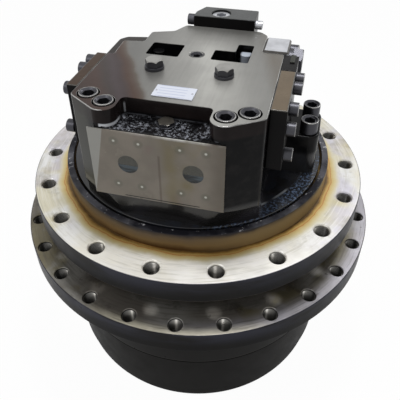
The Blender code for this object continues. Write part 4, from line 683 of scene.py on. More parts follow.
def seam_line(finish, *coats):
    """The drum's colour and coats, with dirt in its seam and a lighter line on both sides, a painted highlight."""
    dark = tuple(colours().drum)
    away = abs(finish.z - DRUM_SEAM)
    clean = away.rise(0.0022, 0.0030)
    face = finish.layers(dark, (finish.noise(25), shade(dark, 1.4)), *coats,
                         # Painted highlight on both sides of the seam
                         (away.fall(0.0034, 0.0050), (0.030, 0.028, 0.026)))
    return finish.layers((0.0003, 0.0003, 0.0003), (clean, face)), clean


def hub_steel():
    """The hub: a mottled taupe sprocket flange with painted shade and light, and dark rims over a charcoal barrel.
    """
    finish = Finish("hub_steel", 0.5, 0.3)
    x, y, z, axis, noise = finish.x, finish.y, finish.z, finish.axis, finish.noise
    above = z.rise(SPROCKET_TOP - 0.0012, SPROCKET_TOP - 0.0004)
    rim = axis.rise(SPROCKET_RADIUS - 0.0016, SPROCKET_RADIUS - 0.0006)
    cream = axis.rise(0.266, 0.279) * y.fall(-0.26, -0.22) * x.rise(-0.11, -0.02)
    top = finish.layers(
        tuple(colours().sprocket_steel),
        (noise(11).rise(0.4, 0.6), (0.27, 0.262, 0.24)),
        (noise(17, shift=(4, 1, 3)).rise(0.50, 0.62) * 0.6, (0.15, 0.125, 0.05)),
        (noise(26, 6.0, 0.7, shift=(6, 2, 8)).rise(0.52, 0.64) * 0.5, (0.05, 0.045, 0.04)),
        # Painted shade on the sprocket face next to the collar, under the frame flange
        (axis.fall(COLLAR_RADIUS + 0.006, COLLAR_RADIUS + 0.030) * 0.7, (0.07, 0.055, 0.04)),
        # Painted reflection: lilac light on the outer right of the face
        (axis.rise(0.254, 0.276) * x.rise(-0.04, 0.12) * 0.8, (0.37, 0.36, 0.40)),
        # Painted light: the outer front left of the face paler
        (cream * 0.7, (0.62, 0.58, 0.45)),
        (finish.arcs(330, 5, 3) * 0.4, (0.09, 0.082, 0.07)),
    )
    face, clean = seam_line(finish, (above, top), (rim, rim_tone(finish, SPROCKET_TOP)))
    bright = 1.0 - ((1.0 - above) | rim)
    finish.gloss(bright * 0.4 + clean * 0.025, bright * 0.5)
    return finish.surface(face, noise(60), 0.2, 0.44, turned_marks(finish, 0.0012), 0.1, 0.0004)


def drum_metal():
    """Charcoal drum and cover, turned and lightly mottled."""
    finish = Finish("drum_metal", 0.0, 0.42)
    finish.gloss(0.02)
    grain = finish.noise(500, 3.0, stretch=(1, 1, 6))
    return finish.surface(seam_line(finish)[0], finish.noise(45), 0.3, 0.55, grain, 0.12, 0.0004)


def head_paint(finish, neck):
    """Glossy black paint: olive on the left, with painted reflections and glints on the neck, the foot, in the
    recess and the pocket.
    """
    x, y, axis, noise, layers = finish.x, finish.y, finish.axis, finish.noise, finish.layers
    top, ledge, port = [finish.z - height for height in (HEAD_TOP, LEDGE, PORT_Z)]
    foot = finish.z.fall(PILOT_TOP + 0.0004, PILOT_TOP + 0.0015)
    foot_reflection_specks = (x * 0.848 - y * 0.53).rise(0.138, 0.164) * noise(270, 4.0, 0.7).rise(0.49, 0.62)
    foot_glint_line = abs(axis - 0.172).fall(0.0010, 0.0022) * noise(16, 2.0).rise(0.42, 0.52)
    front = (y - HEAD_FRONT).fall(0.0002, 0.0004) * port.rise(-0.053, -0.052) * ledge.fall(-0.0020, -0.0018)
    speckle = noise(300, 5.0, 0.7).rise(0.50, 0.60) * noise(30, 3.0).rise(0.40, 0.55)
    inward = abs(x).fall(0.070, 0.073)
    fillet = ledge.band(0.0006, 0.0014, 0.0022, 0.0034) * noise(45, 2.0).rise(0.4, 0.55)
    glint = ledge.band(0.0006, 0.0014, 0.0040, 0.0060) * y.fall(-0.163, -0.156) * abs(x + 0.065).fall(0.009, 0.011)
    corner = abs(x + 0.0542).fall(0.0005, 0.0014) * y.band(-0.153, -0.151, -0.140, -0.138)
    column = abs(y - 0.021).fall(0.009, 0.012) * abs(x - 0.0665).fall(0.005, 0.009)
    painted_sheen = layers((0.013, 0.0125, 0.012), (noise(9, 3.0).rise(0.42, 0.62), (0.030, 0.029, 0.034)))
    return layers(
        tuple(colours().black_paint),
        (noise(60).rise(0.45, 0.7), (0.012, 0.011, 0.011)),
        (x.fall(-0.100, -0.086) * 0.8, (0.048, 0.048, 0.038)),
        # Painted reflection: the neck lighter, with bluish patches
        (neck * 0.8, painted_sheen),
        # Painted reflection on the foot: a bluish tone, and bluish specks near its outer rim
        (foot * noise(60, 5.0).rise(0.35, 0.8), (0.018, 0.021, 0.030)),
        (foot_reflection_specks * foot * axis.rise(0.171, 0.178), (0.085, 0.120, 0.190)),
        # Painted glint: a bright broken line round the foot, on its front half
        (foot_glint_line * foot * y.fall(-0.04, 0.0), (0.26, 0.28, 0.30)),
        (ledge.rise(0.003, 0.008) * noise(20, 3.0) * y.fall(-0.130, -0.120), (0.024, 0.017, 0.016)),
        (front, (0.27, 0.24, 0.20)),
        # Painted glints: light specks sparkling on the ledge floor of the recess
        (ledge.band(-0.0008, -0.0004, 0.0012, 0.003) * inward * speckle, (0.22, 0.23, 0.26)),
        # Painted highlight along the fillet at the foot of the recess wall
        (fillet * inward, (0.075, 0.078, 0.088)),
        # Painted highlights: a crescent at the left lobe's foot and an upright streak in the recess's left rear
        # corner
        (glint | corner * ledge.band(0.003, 0.006, 0.015, 0.020) * 0.5, (0.62, 0.64, 0.68)),
        (top.rise(-0.0036, -0.0032) * x.fall(-0.086, -0.083), (0.024, 0.020, 0.018)),
        # Painted highlight on the column in the right pocket
        (column * top.band(-0.0395, -0.032, -0.010, -0.001), (0.42, 0.46, 0.52)),
    )


def head_casting():
    """Glossy black casting whose milled top is bare, with painted reflection across it and a brown tint on its
    left.
    """
    tones = colours()
    steel = tuple(tones.top_steel)
    finish = Finish("head_casting", 0.0, 0.2)
    x, y, z, noise, layers = finish.x, finish.y, finish.z, finish.noise, finish.layers
    neck = z.fall(PILOT_TOP + 0.030, PILOT_TOP + 0.040)
    # Painted reflection on the milled top: bands of lighter and darker steel across it, darker towards the rear
    shares = ((0.03, 0.5), (0.11, 0.62), (0.19, 0.8), (0.285, 1.05), (0.42, 1.35), (0.52, 1.75), (0.595, 1.8),
              (0.69, 1.4), (0.785, 1.05), (0.905, 0.85))
    sweep = [(place, shade(steel, share)) for place, share in shares] + [(0.99, (0.115, 0.10, 0.080))]
    light = layers(
        (x + y * 0.262).share(-0.100, 0.210).ramp(*sweep),
        (y.rise(-0.01, 0.07) * 0.5, shade(steel, 0.62)),
        (noise(12, 3.0).rise(0.38, 0.62) * 0.3, shade(steel, 0.7)),
        (noise(260, 3.0, stretch=(1, 0.05, 1)).rise(0.35, 0.75) * 0.16, shade(steel, 0.5)))
    tint = (x + y * 0.544 + (noise(14) - 0.5) * 0.022).share(-0.190, 0.090)
    oil = tint.ramp(
        (0.0, shade(tones.top_tint, 0.7)), (0.28, tones.top_tint), (0.444, (0.030, 0.022, 0.020)),
        (0.567, (0.040, 0.029, 0.031)), (0.667, (0.033, 0.022, 0.022)), (0.78, (0.046, 0.024, 0.016)),
        (0.855, (0.060, 0.040, 0.030)), (0.93, (0.085, 0.072, 0.060)))
    clean = tint.rise(0.90, 0.999)
    bare = z.rise(HEAD_TOP - 0.0009, HEAD_TOP - 0.0005)
    fresh = bare * (clean * 0.5 + 0.1)
    finish.gloss((fresh | neck * 0.35) + 0.08, fresh)
    face = layers(head_paint(finish, neck), (bare, layers(oil, (clean, light))))
    return finish.surface(face, bare + noise(35), 0.08, 0.28, noise(260), 0.10, 0.0006)


def cover_casting(name, low, top_color):
    """A black cover whose upper edge is bare brown metal."""
    finish = Finish(name, 0.0, 0.3)
    noise, layers = finish.noise, finish.layers
    finish.gloss(0.07)
    bare = layers(top_color, (noise(40), shade(top_color, 0.6)))
    face = layers((0.003, 0.003, 0.0035), (noise(50, 3.0), (0.007, 0.006, 0.006)),
                  (finish.z.rise(low, low + 0.0006), bare))
    return finish.surface(face, noise(45, 3.0), 0.18, 0.42, noise(300, 3.0), 0.12, 0.0005)


def plain_metal(name, color, metallic, low, high, wear=0.55, grain=300, specular=0.5):
    """A worked metal with patches of tone, uneven gloss and a fine grain."""
    finish = Finish(name, metallic, low)
    finish.gloss(specular)
    face = finish.layers(color, (finish.noise(45).rise(0.35, 0.7), shade(color, wear)))
    return finish.surface(face, finish.noise(80), low, high, grain and finish.noise(grain, 3.0), 0.12, 0.0004)


def film_plastic():
    """Cloudy beige film: paler where it is doubled, stained, with painted shade and glints over the ports and bolt
    holes.
    """
    base = tuple(colours().film)
    finish = Finish("film_plastic", 0.0, 0.22)
    finish.gloss(0.3)
    x, z, noise, layers = finish.x, finish.z, finish.noise, finish.layers
    low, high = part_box("port_film")
    across = abs(x) - PORT_ASIDE
    up = z - PORT_Z
    left = (x - (z - high.z) * 0.20).fall(-0.0715, -0.0700)
    crease = abs(x + 0.001).fall(0.0006, 0.0022) * up.fall(0.018, 0.022)
    line = abs(z - low.z - 0.0026).fall(0.0005, 0.0010) * abs(x).fall(0.048, 0.052)
    crown = (z - high.z).rise(-0.0035, -0.001) * noise(22).rise(0.36, 0.6) * x.rise(-0.06, 0.03)
    port = across.far(up).fall(0.0128, 0.0138)
    # Lower half of each port disc, in deeper painted shade
    oil = port * up.fall(-0.0022, -0.0008)
    streaks = noise(120, 2.0, stretch=(0.2, 1, 1)).rise(0.45, 0.6)
    port_bore_shade = layers((0.012, 0.014, 0.014), (streaks, (0.060, 0.080, 0.095)))
    bolt = (abs(across) - BOLT_ASIDE).far(abs(up) - BOLT_UP)
    dot = bolt.fall(0.0008, 0.0024)
    face = layers(
        base,
        (noise(18).rise(0.38, 0.64), shade(base, 0.82)),
        (noise(22, 3.0, shift=(3, 1, 0)).rise(0.55, 0.7) * 0.4, (0.25, 0.18, 0.165)),
        (noise(14, 2.0, shift=(0, 4, 2)).rise(0.48, 0.66) * x.rise(-0.01, 0.02) * 0.7, (0.21, 0.17, 0.055)),
        # Painted shade on the right part of the film
        (x.rise(0.05, 0.08) * 0.6, (0.12, 0.10, 0.075)),
        (left * 0.75, (0.37, 0.375, 0.355)),
        # Painted shade in the upright crease of the film between the ports
        (crease * 0.4, (0.08, 0.05, 0.04)),
        # Painted shadow: a dark line just above the film's lower edge
        (line, (0.02, 0.02, 0.02)),
        # Painted highlight along the film's folded top edge
        (crown, (0.66, 0.65, 0.62)),
        # Painted shade over the ports, deeper in their lower halves, with streaks of bluish painted reflection
        (port * 0.75, (0.045, 0.053, 0.048)),
        (oil, port_bore_shade),
        # Painted shade round each bolt hole and a painted glint at its middle
        (bolt.fall(0.0045, 0.0075) * 0.35, (0.13, 0.15, 0.11)),
        (dot, (0.62, 0.62, 0.56)),
    )
    finish.take({"Alpha": ((left | dot) | (oil | line)) * 0.2 + 0.78})
    return finish.surface(face, noise(50, 3.0), 0.12, 0.34, noise(24, 3.0, distortion=1.5), 0.25, 0.002)


def thread_metal(name, holes, radius, pitch):
    """Threads with painted shade in their roots and a painted highlight in a narrow upright strip on the wall
    nearest the drive axis.
    """
    count, circle, phase, top, _ = holes
    step = ROUND / count
    finish = Finish(name, 0.6, 0.3)
    turn = finish.math("ARCTAN2", finish.y, finish.x) - phase
    aside = (turn - finish.math("ROUND", turn / step) * step) * (circle / (2 * radius))
    stops = (
        (0.0, 0.05), (0.22, 0.17), (0.36, 0.30), (0.46, 0.95), (0.54, 0.9), (0.64, 0.28), (0.8, 0.14), (1.0, 0.04),
    )
    # Painted highlight: a bright upright strip across each hole, dark to both sides
    strip = aside.share(-0.5, 1.0).ramp(*[(place, (v, v * 0.97, v * 0.9)) for place, v in stops])
    # Painted shade in the roots of the threads
    wave = ((finish.z - (top - THREAD_START)) * (ROUND / pitch)).sine()
    face = finish.layers(strip, (wave.rise(-0.5, 0.9) * 0.6, (0.030, 0.026, 0.023)))
    return finish.surface(face, finish.noise(80, 3.0), 0.2, 0.4, finish.noise(300, 2.0), 0.08, 0.0003)


def plate_metal():
    """A bare data plate: pale metal with faint ruled lines printed across its middle, no words."""
    finish = Finish("plate_metal", 0.15, 0.35)
    line = (finish.y * (ROUND / 0.0065)).sine().rise(0.72, 0.86) * abs(finish.x).fall(0.017, 0.019)
    face = finish.layers((0.58, 0.61, 0.69), (line * 0.45, (0.18, 0.22, 0.42)))
    return finish.surface(face, finish.noise(120, 3.0), 0.25, 0.4, finish.noise(400, 2.0), 0.08, 0.0003)


# Lower edge of the bare part and its colour
COVERS = {
    "left_cover_metal": (HEAD_TOP - 0.0009, (0.06, 0.038, 0.026)),
    "pilot_metal": (HEAD_TOP + 0.0006, (0.040, 0.042, 0.036)),
    "rear_block_metal": (HEAD_TOP + 0.0156, (0.085, 0.088, 0.088)),
}
# Colour, metallic share, limits of the roughness, wear, grain and specular level
METALS = {
    "black_oxide": ((0.003, 0.003, 0.004), 0.0, 0.04, 0.10, 0.55, 0, 0.06),
    # Edge finishes: the pale one is bare steel at worn chamfers and also a painted highlight on the edges, the dull
    # one a dimmer edge colour, and the plug crown a pale plug top, bare metal with a painted reflection
    "worn_edge_and_glint": ((0.36, 0.355, 0.345), 0.5, 0.22, 0.4, 0.3),
    "dull_edge": ((0.075, 0.068, 0.058), 0.3, 0.2, 0.4, 0.3),
    "plug_crown": ((0.27, 0.265, 0.25), 0.5, 0.25, 0.4, 0.7),
    "bright_steel": ((0.52, 0.53, 0.56), 0.7, 0.24, 0.40, 0.75, 0),
    "gear_steel": ((0.42, 0.42, 0.44), 0.95, 0.2, 0.38, 0.75),
    "ground_steel": ((0.62, 0.62, 0.64), 0.95, 0.12, 0.26, 0.8),
    "bearing_bronze": ((0.45, 0.27, 0.10), 0.9, 0.25, 0.42, 0.7),
    "friction_lining": ((0.10, 0.065, 0.04), 0.05, 0.7, 0.9, 0.55, 700),
}


def finish_named(name):
    """Materials that several pieces share are made once."""
    size = sizes()
    found = bpy.data.materials.get(name)
    if found:
        return found
    if name in METALS:
        return plain_metal(name, *METALS[name])
    if name in COVERS:
        return cover_casting(name, *COVERS[name])
    return {
        "frame_steel": frame_steel, "hub_steel": hub_steel, "drum_metal": drum_metal, "head_casting": head_casting,
        "film_plastic": film_plastic, "plate_metal": plate_metal,
        "right_cover_metal": lambda: cover_casting(name, HEAD_TOP - 0.0009, tuple(colours().cover_top)),
        "frame_thread_steel": lambda: thread_metal(name, FRAME_HOLES, size.frame_hole, size.thread_pitch),
        "hub_thread_steel": lambda: thread_metal(
            name, SPROCKET_HOLES, size.sprocket_hole, size.thread_pitch * FINE_PITCH_SHARE),
    }[name]()


# Pieces


class DRIVE_OT_frame_flange(bpy.types.Operator):
    """Builds the frame spindle: the pale flange, its pilot boss and its threaded holes"""

    bl_idname = "drive.frame_flange"
    bl_label = "Frame flange"

    def execute(self, context):
        size = sizes()
        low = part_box("frame_spindle")[0].z
        recess = PILOT_TOP - HEAD_SEAT_DEPTH
        profile = [
            (PILOT_RADIUS, PILOT_TOP), (PILOT_RADIUS, FRAME_TOP), (FRAME_RADIUS, FRAME_TOP),
            (FRAME_RADIUS, FRAME_BOTTOM), (NECK_RADIUS, FRAME_BOTTOM), (NECK_RADIUS, NECK_FOOT),
            (BEARING_SHOULDER, SHOULDER_FOOT), (BEARING_SEAT, SHOULDER_FOOT), (BEARING_SEAT, low),
            (SHAFT_BORE, low), (SHAFT_BORE, low + 0.008), (SHAFT_BEARING, low + 0.008),
            (SHAFT_BEARING, low + 0.029), (MOTOR_BORE, low + 0.029), (MOTOR_BORE, MOTOR_LEDGE),
            (MOTOR_MOUTH, MOTOR_LEDGE), (MOTOR_MOUTH, recess), (HEAD_SEAT, recess), (HEAD_SEAT, PILOT_TOP),
        ]
        build = spun(softened(profile, size.edge_round, skip=(1,)), size.turning_steps)
        build, threads = threaded(build, FRAME_HOLES, size.frame_hole, FRAME_THREAD, size.thread_pitch)
        add_piece("frame_spindle_turned", build, "frame_steel", ["frame_spindle"], sharp=30)
        add_piece("frame_threads", threads, "frame_thread_steel", sharp=30)
        return {"FINISHED"}


class DRIVE_OT_hub(bpy.types.Operator):
    """Builds the hub with the sprocket flange, its threaded holes and the barrel"""

    bl_idname = "drive.hub"
    bl_label = "Hub and sprocket flange"

    def execute(self, context):
        size = sizes()
        profile = [
            (COLLAR_RADIUS, COLLAR_TOP), (COLLAR_RADIUS, SPROCKET_TOP + 0.012),
            (COLLAR_RADIUS + 0.004, SPROCKET_TOP + 0.004), (COLLAR_RADIUS + 0.012, SPROCKET_TOP),
            (SPROCKET_RADIUS, SPROCKET_TOP), (SPROCKET_RADIUS, SPROCKET_BOTTOM),
            (BARREL_RADIUS + 0.014, SPROCKET_BOTTOM), (BARREL_RADIUS + 0.004, SPROCKET_BOTTOM - 0.004),
            (BARREL_RADIUS, SPROCKET_BOTTOM - 0.014), (BARREL_RADIUS, DRUM_SEAM), (HUB_BEARING, DRUM_SEAM),
            (HUB_BEARING, HUB_SHOULDER_LOW), (HUB_SHOULDER, HUB_SHOULDER_LOW), (HUB_SHOULDER, HUB_SHOULDER_HIGH),
            (HUB_BEARING, HUB_SHOULDER_HIGH), (HUB_BEARING, SEAL_FLOOR), (SEAL_POCKET, SEAL_FLOOR),
            (SEAL_POCKET, COLLAR_TOP),
        ]
        build = spun(softened(profile, size.edge_round), size.turning_steps)
        pitch = size.thread_pitch * FINE_PITCH_SHARE
        build, threads = threaded(build, SPROCKET_HOLES, size.sprocket_hole, SPROCKET_THREAD, pitch)
        add_piece("hub_turned", build, "hub_steel", ["hub_housing"], body="hub", sharp=30)
        add_piece("sprocket_threads", threads, "hub_thread_steel", body="hub", sharp=30)
        return {"FINISHED"}


def gear_profile(teeth, module, internal=False, points=7):
    """Outline of involute teeth in plan, first tooth on +X."""
    pressure = math.radians(25)
    pitch = module * teeth / 2
    side = -1 if internal else 1
    root = pitch - side * 1.25 * module
    tip = pitch + side * module
    flank = []
    for index in range(points):
        radius = root + (tip - root) * index / (points - 1)
        roll = math.acos(min(1.0, pitch * math.cos(pressure) / radius))
        half = math.pi / (2 * teeth) - 0.0005 / (2 * pitch)
        half += side * ((math.tan(pressure) - pressure) - (math.tan(roll) - roll))
        flank.append((radius, half))
    tooth = [(radius, -half) for radius, half in flank] + flank[::-1]
    turns = [ROUND * number / teeth for number in range(teeth)]
    return [(r * math.cos(turn + a), r * math.sin(turn + a)) for turn in turns for r, a in tooth]


def middle_of(node):
    """The middle of a solid's box."""
    low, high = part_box(node)
    return (low + high) / 2


class DRIVE_OT_drum(bpy.types.Operator):
    """Builds the ring gear drum and the end cover with its screws and level plugs"""

    bl_idname = "drive.drum"
    bl_label = "Drum and end cover"

    def execute(self, context):
        size = sizes()
        low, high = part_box("ring_gear")
        outside = bend((0, 0), DRUM_RADIUS, 0, 360, 144)[:-1]
        build = filled_band([outside, gear_profile(60, 0.006, internal=True)], low.z, high.z)
        rim = [e for e in top_edges(build, high.z) if all(v.co.xy.length > DRUM_RADIUS - 0.001 for v in e.verts)]
        soften_edges(build, rim, 0.0012, 2)
        add_piece("ring_gear_drum", build, "drum_metal", ["ring_gear"], body="hub", sharp=30)

        profile = [
            (0, 0.027), (0.0263, 0.027), (0.0263, COVER_TOP), (COVER_RADIUS, COVER_TOP), (COVER_RADIUS, 0.009),
            (COVER_RADIUS - 0.0026, 0.0026), (COVER_RADIUS - 0.009, 0), (0.152, 0), (0.146, 0.006), (0, 0.006),
        ]
        build = spun(softened(profile, size.edge_round), size.turning_steps, closed=False)
        below = standing((0, 0, 0), (0, 0, -1))
        bores = [below @ standing((p.x, -p.y, 0)) for p in ring_places(12, 0.201, 0)]
        plugs = [middle_of(f"level_plug_{number}") for number in (1, 2, 3)]
        seats = [below @ standing((p.x, -p.y, -0.006)) for p in plugs]
        build = carved(build, copies(hole_cutter(*END_SCREW_SEAT), bores),
                       copies(hole_cutter(*LEVEL_PLUG_SEAT), seats))
        add_piece("end_cover_turned", build, "drum_metal", ["end_cover"], body="hub", sharp=30)

        heads = [matrix @ standing((0, 0, -0.0115)) for matrix in bores]
        add_piece("cover_screws", copies(socket_screw(*END_SCREW), heads), "black_oxide", body="hub",
                  edges="worn_edge_and_glint")
        for number, matrix in enumerate(seats, 1):
            plug = joined(pole(0.0165, 0.0067, 40, 0.001), placed(pole(0.0105, 0.014, 24), (0, 0, -0.0138)))
            plug = carved(plug, placed(pole(0.0052, 0.006, 6), (0, 0, 0.0022)))
            add_piece(f"level_plug_fine_{number}", copies(plug, [matrix @ standing((0, 0, -0.0069))]),
                      "black_oxide", [f"level_plug_{number}"], body="hub")
        return {"FINISHED"}


def socket_screw(head_radius, head_height, shank_radius, shank_length):
    """A socket head screw that stands on z 0, its shank below and its socket's mouth countersunk."""
    edge = head_height * 0.06
    dish = -head_height * 0.1
    socket = placed(pole(head_radius * 0.66, head_height, 6), (0, 0, head_height * 0.45))
    mouth = spun([(0, 0), (head_radius * 0.85, 0), (head_radius * 0.68, dish), (0, dish)], 24, closed=False)
    head = carved(pole(head_radius, head_height, 40, edge, edge), socket, placed(mouth, (0, 0, head_height + HAIR)))
    mark(head, head_height * 0.7, steep=0.3, flat=1.1, beyond=head_radius * 0.83)
    return joined(head, placed(pole(shank_radius, shank_length, 24), (0, 0, -shank_length)))


def hex_head(radius, height):
    """A hexagonal head on z 0 whose corners are turned off at the top."""
    top = height + HAIR
    wide = radius * 1.05
    crown = [(0, top), (radius * 0.86, top), (wide, height * 0.80), (wide, -0.001), (0, -0.001)]
    return carved(pole(radius, height, 6), spun(crown, 40, closed=False), operation="INTERSECT")


def recess_cutter():
    """The front recess between the round screw lobes, with a filleted floor."""
    outline = [(-0.072, -0.200), (0.0735, -0.200)]
    outline += bend((0.0735, -0.1675), 0.015, -90, -180, 8)
    outline += bend((0.0515, -0.1532), 0.007, 0, 90, 6)
    outline += bend((-0.050, -0.1532), 0.007, 90, 180, 6)
    outline += bend((-0.072, -0.1675), 0.015, 0, -90, 8)
    build = prism(outline, LEDGE, HEAD_TOP + OVERCUT)
    floor = [e for e in foot_edges(build, LEDGE) if min(v.co.y for v in e.verts) > HEAD_FRONT + HAIR]
    soften_edges(build, floor, 0.004, 4)
    return build


def head_body():
    """The outer form of the head: a prism turned down to its round foot, with the lug and the boss."""
    size = sizes()
    body = prism(HEAD_OUTLINE, PILOT_TOP - 0.008, HEAD_TOP, corner=0.004, rim=0.0010)
    neck_top = PILOT_TOP + 0.028
    below = PILOT_TOP - 0.012
    seat = PILOT_TOP - 0.024
    outside = spun([
        (0.33, neck_top + 0.018), (0.33, below), (FOOT_RADIUS - 0.002, below),
        (FOOT_RADIUS - 0.002, PILOT_TOP + 0.012), (FOOT_RADIUS + 0.003, neck_top),
        (FOOT_RADIUS + 0.018, neck_top + 0.018),
    ], size.turning_steps)
    foot = spun(softened([
        (0, PILOT_TOP), (FOOT_RADIUS, PILOT_TOP), (FOOT_RADIUS, seat), (0.090, seat), (0.090, 0.3360), (0, 0.3360),
    ], size.edge_round), size.turning_steps, closed=False)
    lug = prism(LUG_OUTLINE, PILOT_TOP - 0.008, PILOT_TOP + 0.065, corner=0.015, rim=0.0025, segments=8)
    boss = prism(BOSS_OUTLINE, HEAD_TOP - 0.087, HEAD_TOP - 0.003, corner=0.004, rim=0.003)
    return carved(carved(body, outside), foot, lug, boss, operation="UNION")


class DRIVE_OT_head(bpy.types.Operator):
    """Builds the valve head's casting with its recess, pockets, ports, lug and foot"""

    bl_idname = "drive.head"
    bl_label = "Valve head"

    def execute(self, context):
        front = (0, -1, 0)
        left = block((-0.0695, -0.0245, POCKET_FLOOR), (-0.022, 0.016, HEAD_TOP + OVERCUT), 0.003)
        right = prism(RIGHT_POCKET, POCKET_FLOOR, HEAD_TOP + OVERCUT, corner=0.003)
        seats = placed(hole_cutter(*HEAD_SCREW_SEAT, 40), *[(x, y, HEAD_TOP) for x, y in HEAD_SCREWS])
        socket = placed(hole_cutter(*SOCKET_PLUG_SEAT, 32), (*SOCKET_PLUG, HEAD_TOP))
        mouths = [(x, HEAD_FRONT, PORT_Z) for x in (-PORT_ASIDE, PORT_ASIDE)]
        taps = [(x + aside, y, z + up) for x, y, z in mouths for aside in (-BOLT_ASIDE, BOLT_ASIDE)
                for up in (-BOLT_UP, BOLT_UP)]
        ports = placed(hole_cutter(*PORT_HOLE, 40), *mouths, axis=front)
        bolts = placed(hole_cutter(*BOLT_HOLE, 20), *taps, axis=front)
        drain = placed(hole_cutter(*DRAIN_HOLE, 20), (0, HEAD_FRONT, PORT_Z + 0.026), axis=front)
        lip = copies(block((-0.0725, -0.0016, -0.0016), (0.074, 0.0016, 0.0016)),
                     [Matrix.Translation((0, HEAD_FRONT, LEDGE)) @ Matrix.Rotation(math.pi / 4, 4, "X")])
        spool_bore = placed(pole(SPOOL_BORE, 0.26, 40), (-0.13, SPOOL_Y, SPOOL_Z), axis=(1, 0, 0))
        build = carved(
            head_body(), recess_cutter(), lip, left, right, seats, socket, ports, bolts, drain, spool_bore)
        columns = placed(pole(0.009, 0.032, 32, 0.001), *[(x, y, POCKET_FLOOR - 0.0005) for x, y in COLUMNS])
        build = mark(carved(build, columns, operation="UNION"), HEAD_TOP - 0.0011)
        add_piece("head_casting", build, "head_casting", ["head_block"], sharp=32, edges="worn_edge_and_glint")
        return {"FINISHED"}


class DRIVE_OT_head_screws(bpy.types.Operator):
    """Builds the socket head screws of the head and the lug"""

    bl_idname = "drive.head_screws"
    bl_label = "Head screws"

    def execute(self, context):
        for kind, spots, seat, form in (
            ("head", HEAD_SCREWS, HEAD_TOP - 0.020, HEAD_SCREW), ("lug", LUG_SCREWS, PILOT_TOP + 0.0653, LUG_SCREW),
        ):
            for number, (x, y) in enumerate(spots, 1):
                add_piece(f"{kind}_screw_fine_{number}", placed(socket_screw(*form), (x, y, seat), turn=number),
                          "black_oxide", [f"{kind}_screw_{number}"], edges="worn_edge_and_glint")
        return {"FINISHED"}


class DRIVE_OT_plugs(bpy.types.Operator):
    """Builds the plugs in the head's top and ledge"""

    bl_idname = "drive.plugs"
    bl_label = "Plugs"

    def execute(self, context):
        for name, (place, radius, height) in HEX_PLUGS.items():
            shank = placed(pole(radius * 0.66, 0.0155, 24), (0, 0, -0.0153))
            collar = pole(radius * 1.06, height * 0.3, 40, 0.0006)
            head = mark(hex_head(radius, height), height * 0.75, flat=1.1)
            lifted = Vector(place) + Vector((0, 0, LIFT))
            plug = placed(joined(head, collar, shank), lifted, turn=math.radians(30))
            # Plugs on the top get a pale crown, bare metal with a painted reflection; the plug on the ledge gets a
            # dimmer edge colour
            add_piece(name + "_fine", plug, "black_oxide", [name],
                      edges="dull_edge" if place[2] < HEAD_TOP else "plug_crown")
        dish = spun([(0, 0.0118), (0.0082, 0.0118), (0.0072, 0.0096), (0, 0.0096)], 32, closed=False)
        plug = carved(pole(0.0100, 0.0117, 32, 0.0004), dish, placed(pole(0.0056, 0.010, 6), (0, 0, 0.0052)))
        plug = placed(mark(plug, 0.0112, flat=1.1, beyond=0.0080), (*SOCKET_PLUG, HEAD_TOP - 0.012))
        add_piece("socket_plug_fine", plug, "black_oxide", ["socket_plug"], edges="plug_crown")
        return {"FINISHED"}


class DRIVE_OT_side_covers(bpy.types.Operator):
    """Builds the two end caps of the counterbalance valve with their screws"""

    bl_idname = "drive.side_covers"
    bl_label = "Side covers"

    def execute(self, context):
        for side, name in ((1, "right"), (-1, "left")):
            low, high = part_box("side_cover_" + name)
            rear = high.copy()
            if side > 0:
                rear.y = COVER_REAR
            bore = placed(pole(0.018, 0.0115, 40), (side * 0.1203, SPOOL_Y, SPOOL_Z), axis=(side, 0, 0))
            cover = mark(carved(block(low, rear, 0.0012), bore), high.z - 0.0012)
            add_piece(f"side_cover_{name}_fine", cover, name + "_cover_metal", ["side_cover_" + name], sharp=32,
                      edges="dull_edge")
            face = high.x if side > 0 else low.x
            places = [standing((face, y, FRAME_TOP + z), (side, 0, 0), turn=number)
                      for number, (y, z) in enumerate(CAP_SCREWS[name])]
            if side > 0:
                pilot = block((low.x, rear.y + LIFT, low.z), high, 0.0012)
                pad = block((low.x + 0.0095, -0.006, high.z - 0.002),
                            (high.x - 0.0045, high.y - 0.0005, high.z + 0.0016), 0.0005)
                add_piece("relief_pilot_body", joined(pilot, pad), "pilot_metal", sharp=32)
            add_piece("cover_screws_" + name, copies(socket_screw(*CAP_SCREW), places), "black_oxide",
                      edges="worn_edge_and_glint")
        return {"FINISHED"}


class DRIVE_OT_rear_block(bpy.types.Operator):
    """Builds the valve block behind the head with its plugs"""

    bl_idname = "drive.rear_block"
    bl_label = "Rear valve block"

    def execute(self, context):
        low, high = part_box("rear_valve_block")
        outline = [low.xy, (high.x, low.y), high.xy, (low.x + 0.010, high.y), (low.x, high.y - 0.024)]
        body = prism(outline, low.z, high.z, corner=0.0015, rim=0.0015, segments=3)
        plug = middle_of("rear_block_plug")
        body = carved(body, placed(hole_cutter(*REAR_PLUG_SEAT, 40), (plug.x, plug.y, high.z)))
        add_piece("rear_block_fine", body, "rear_block_metal", ["rear_valve_block"], sharp=32)
        cap = carved(pole(0.0145, 0.016, 40, 0.001), placed(pole(0.0082, 0.012, 6), (0, 0, 0.007)))
        add_piece("rear_block_plug_fine", placed(cap, (plug.x, plug.y, high.z - 0.019)), "bright_steel",
                  ["rear_block_plug"])
        for name, side, radius, finish in (
            ("left", -1, 0.0085, "black_oxide"), ("right", 1, 0.0068, "bright_steel"),
        ):
            middle = middle_of("rear_end_plug_" + name)
            face = high.x if side > 0 else low.x
            cap = placed(socket_screw(radius, 0.0107, radius * 0.7, 0.0095),
                         (face + side * LIFT, middle.y, middle.z), axis=(side, 0, 0))
            add_piece(f"rear_end_plug_{name}_fine", cap, finish, ["rear_end_plug_" + name], edges=finish)
        return {"FINISHED"}


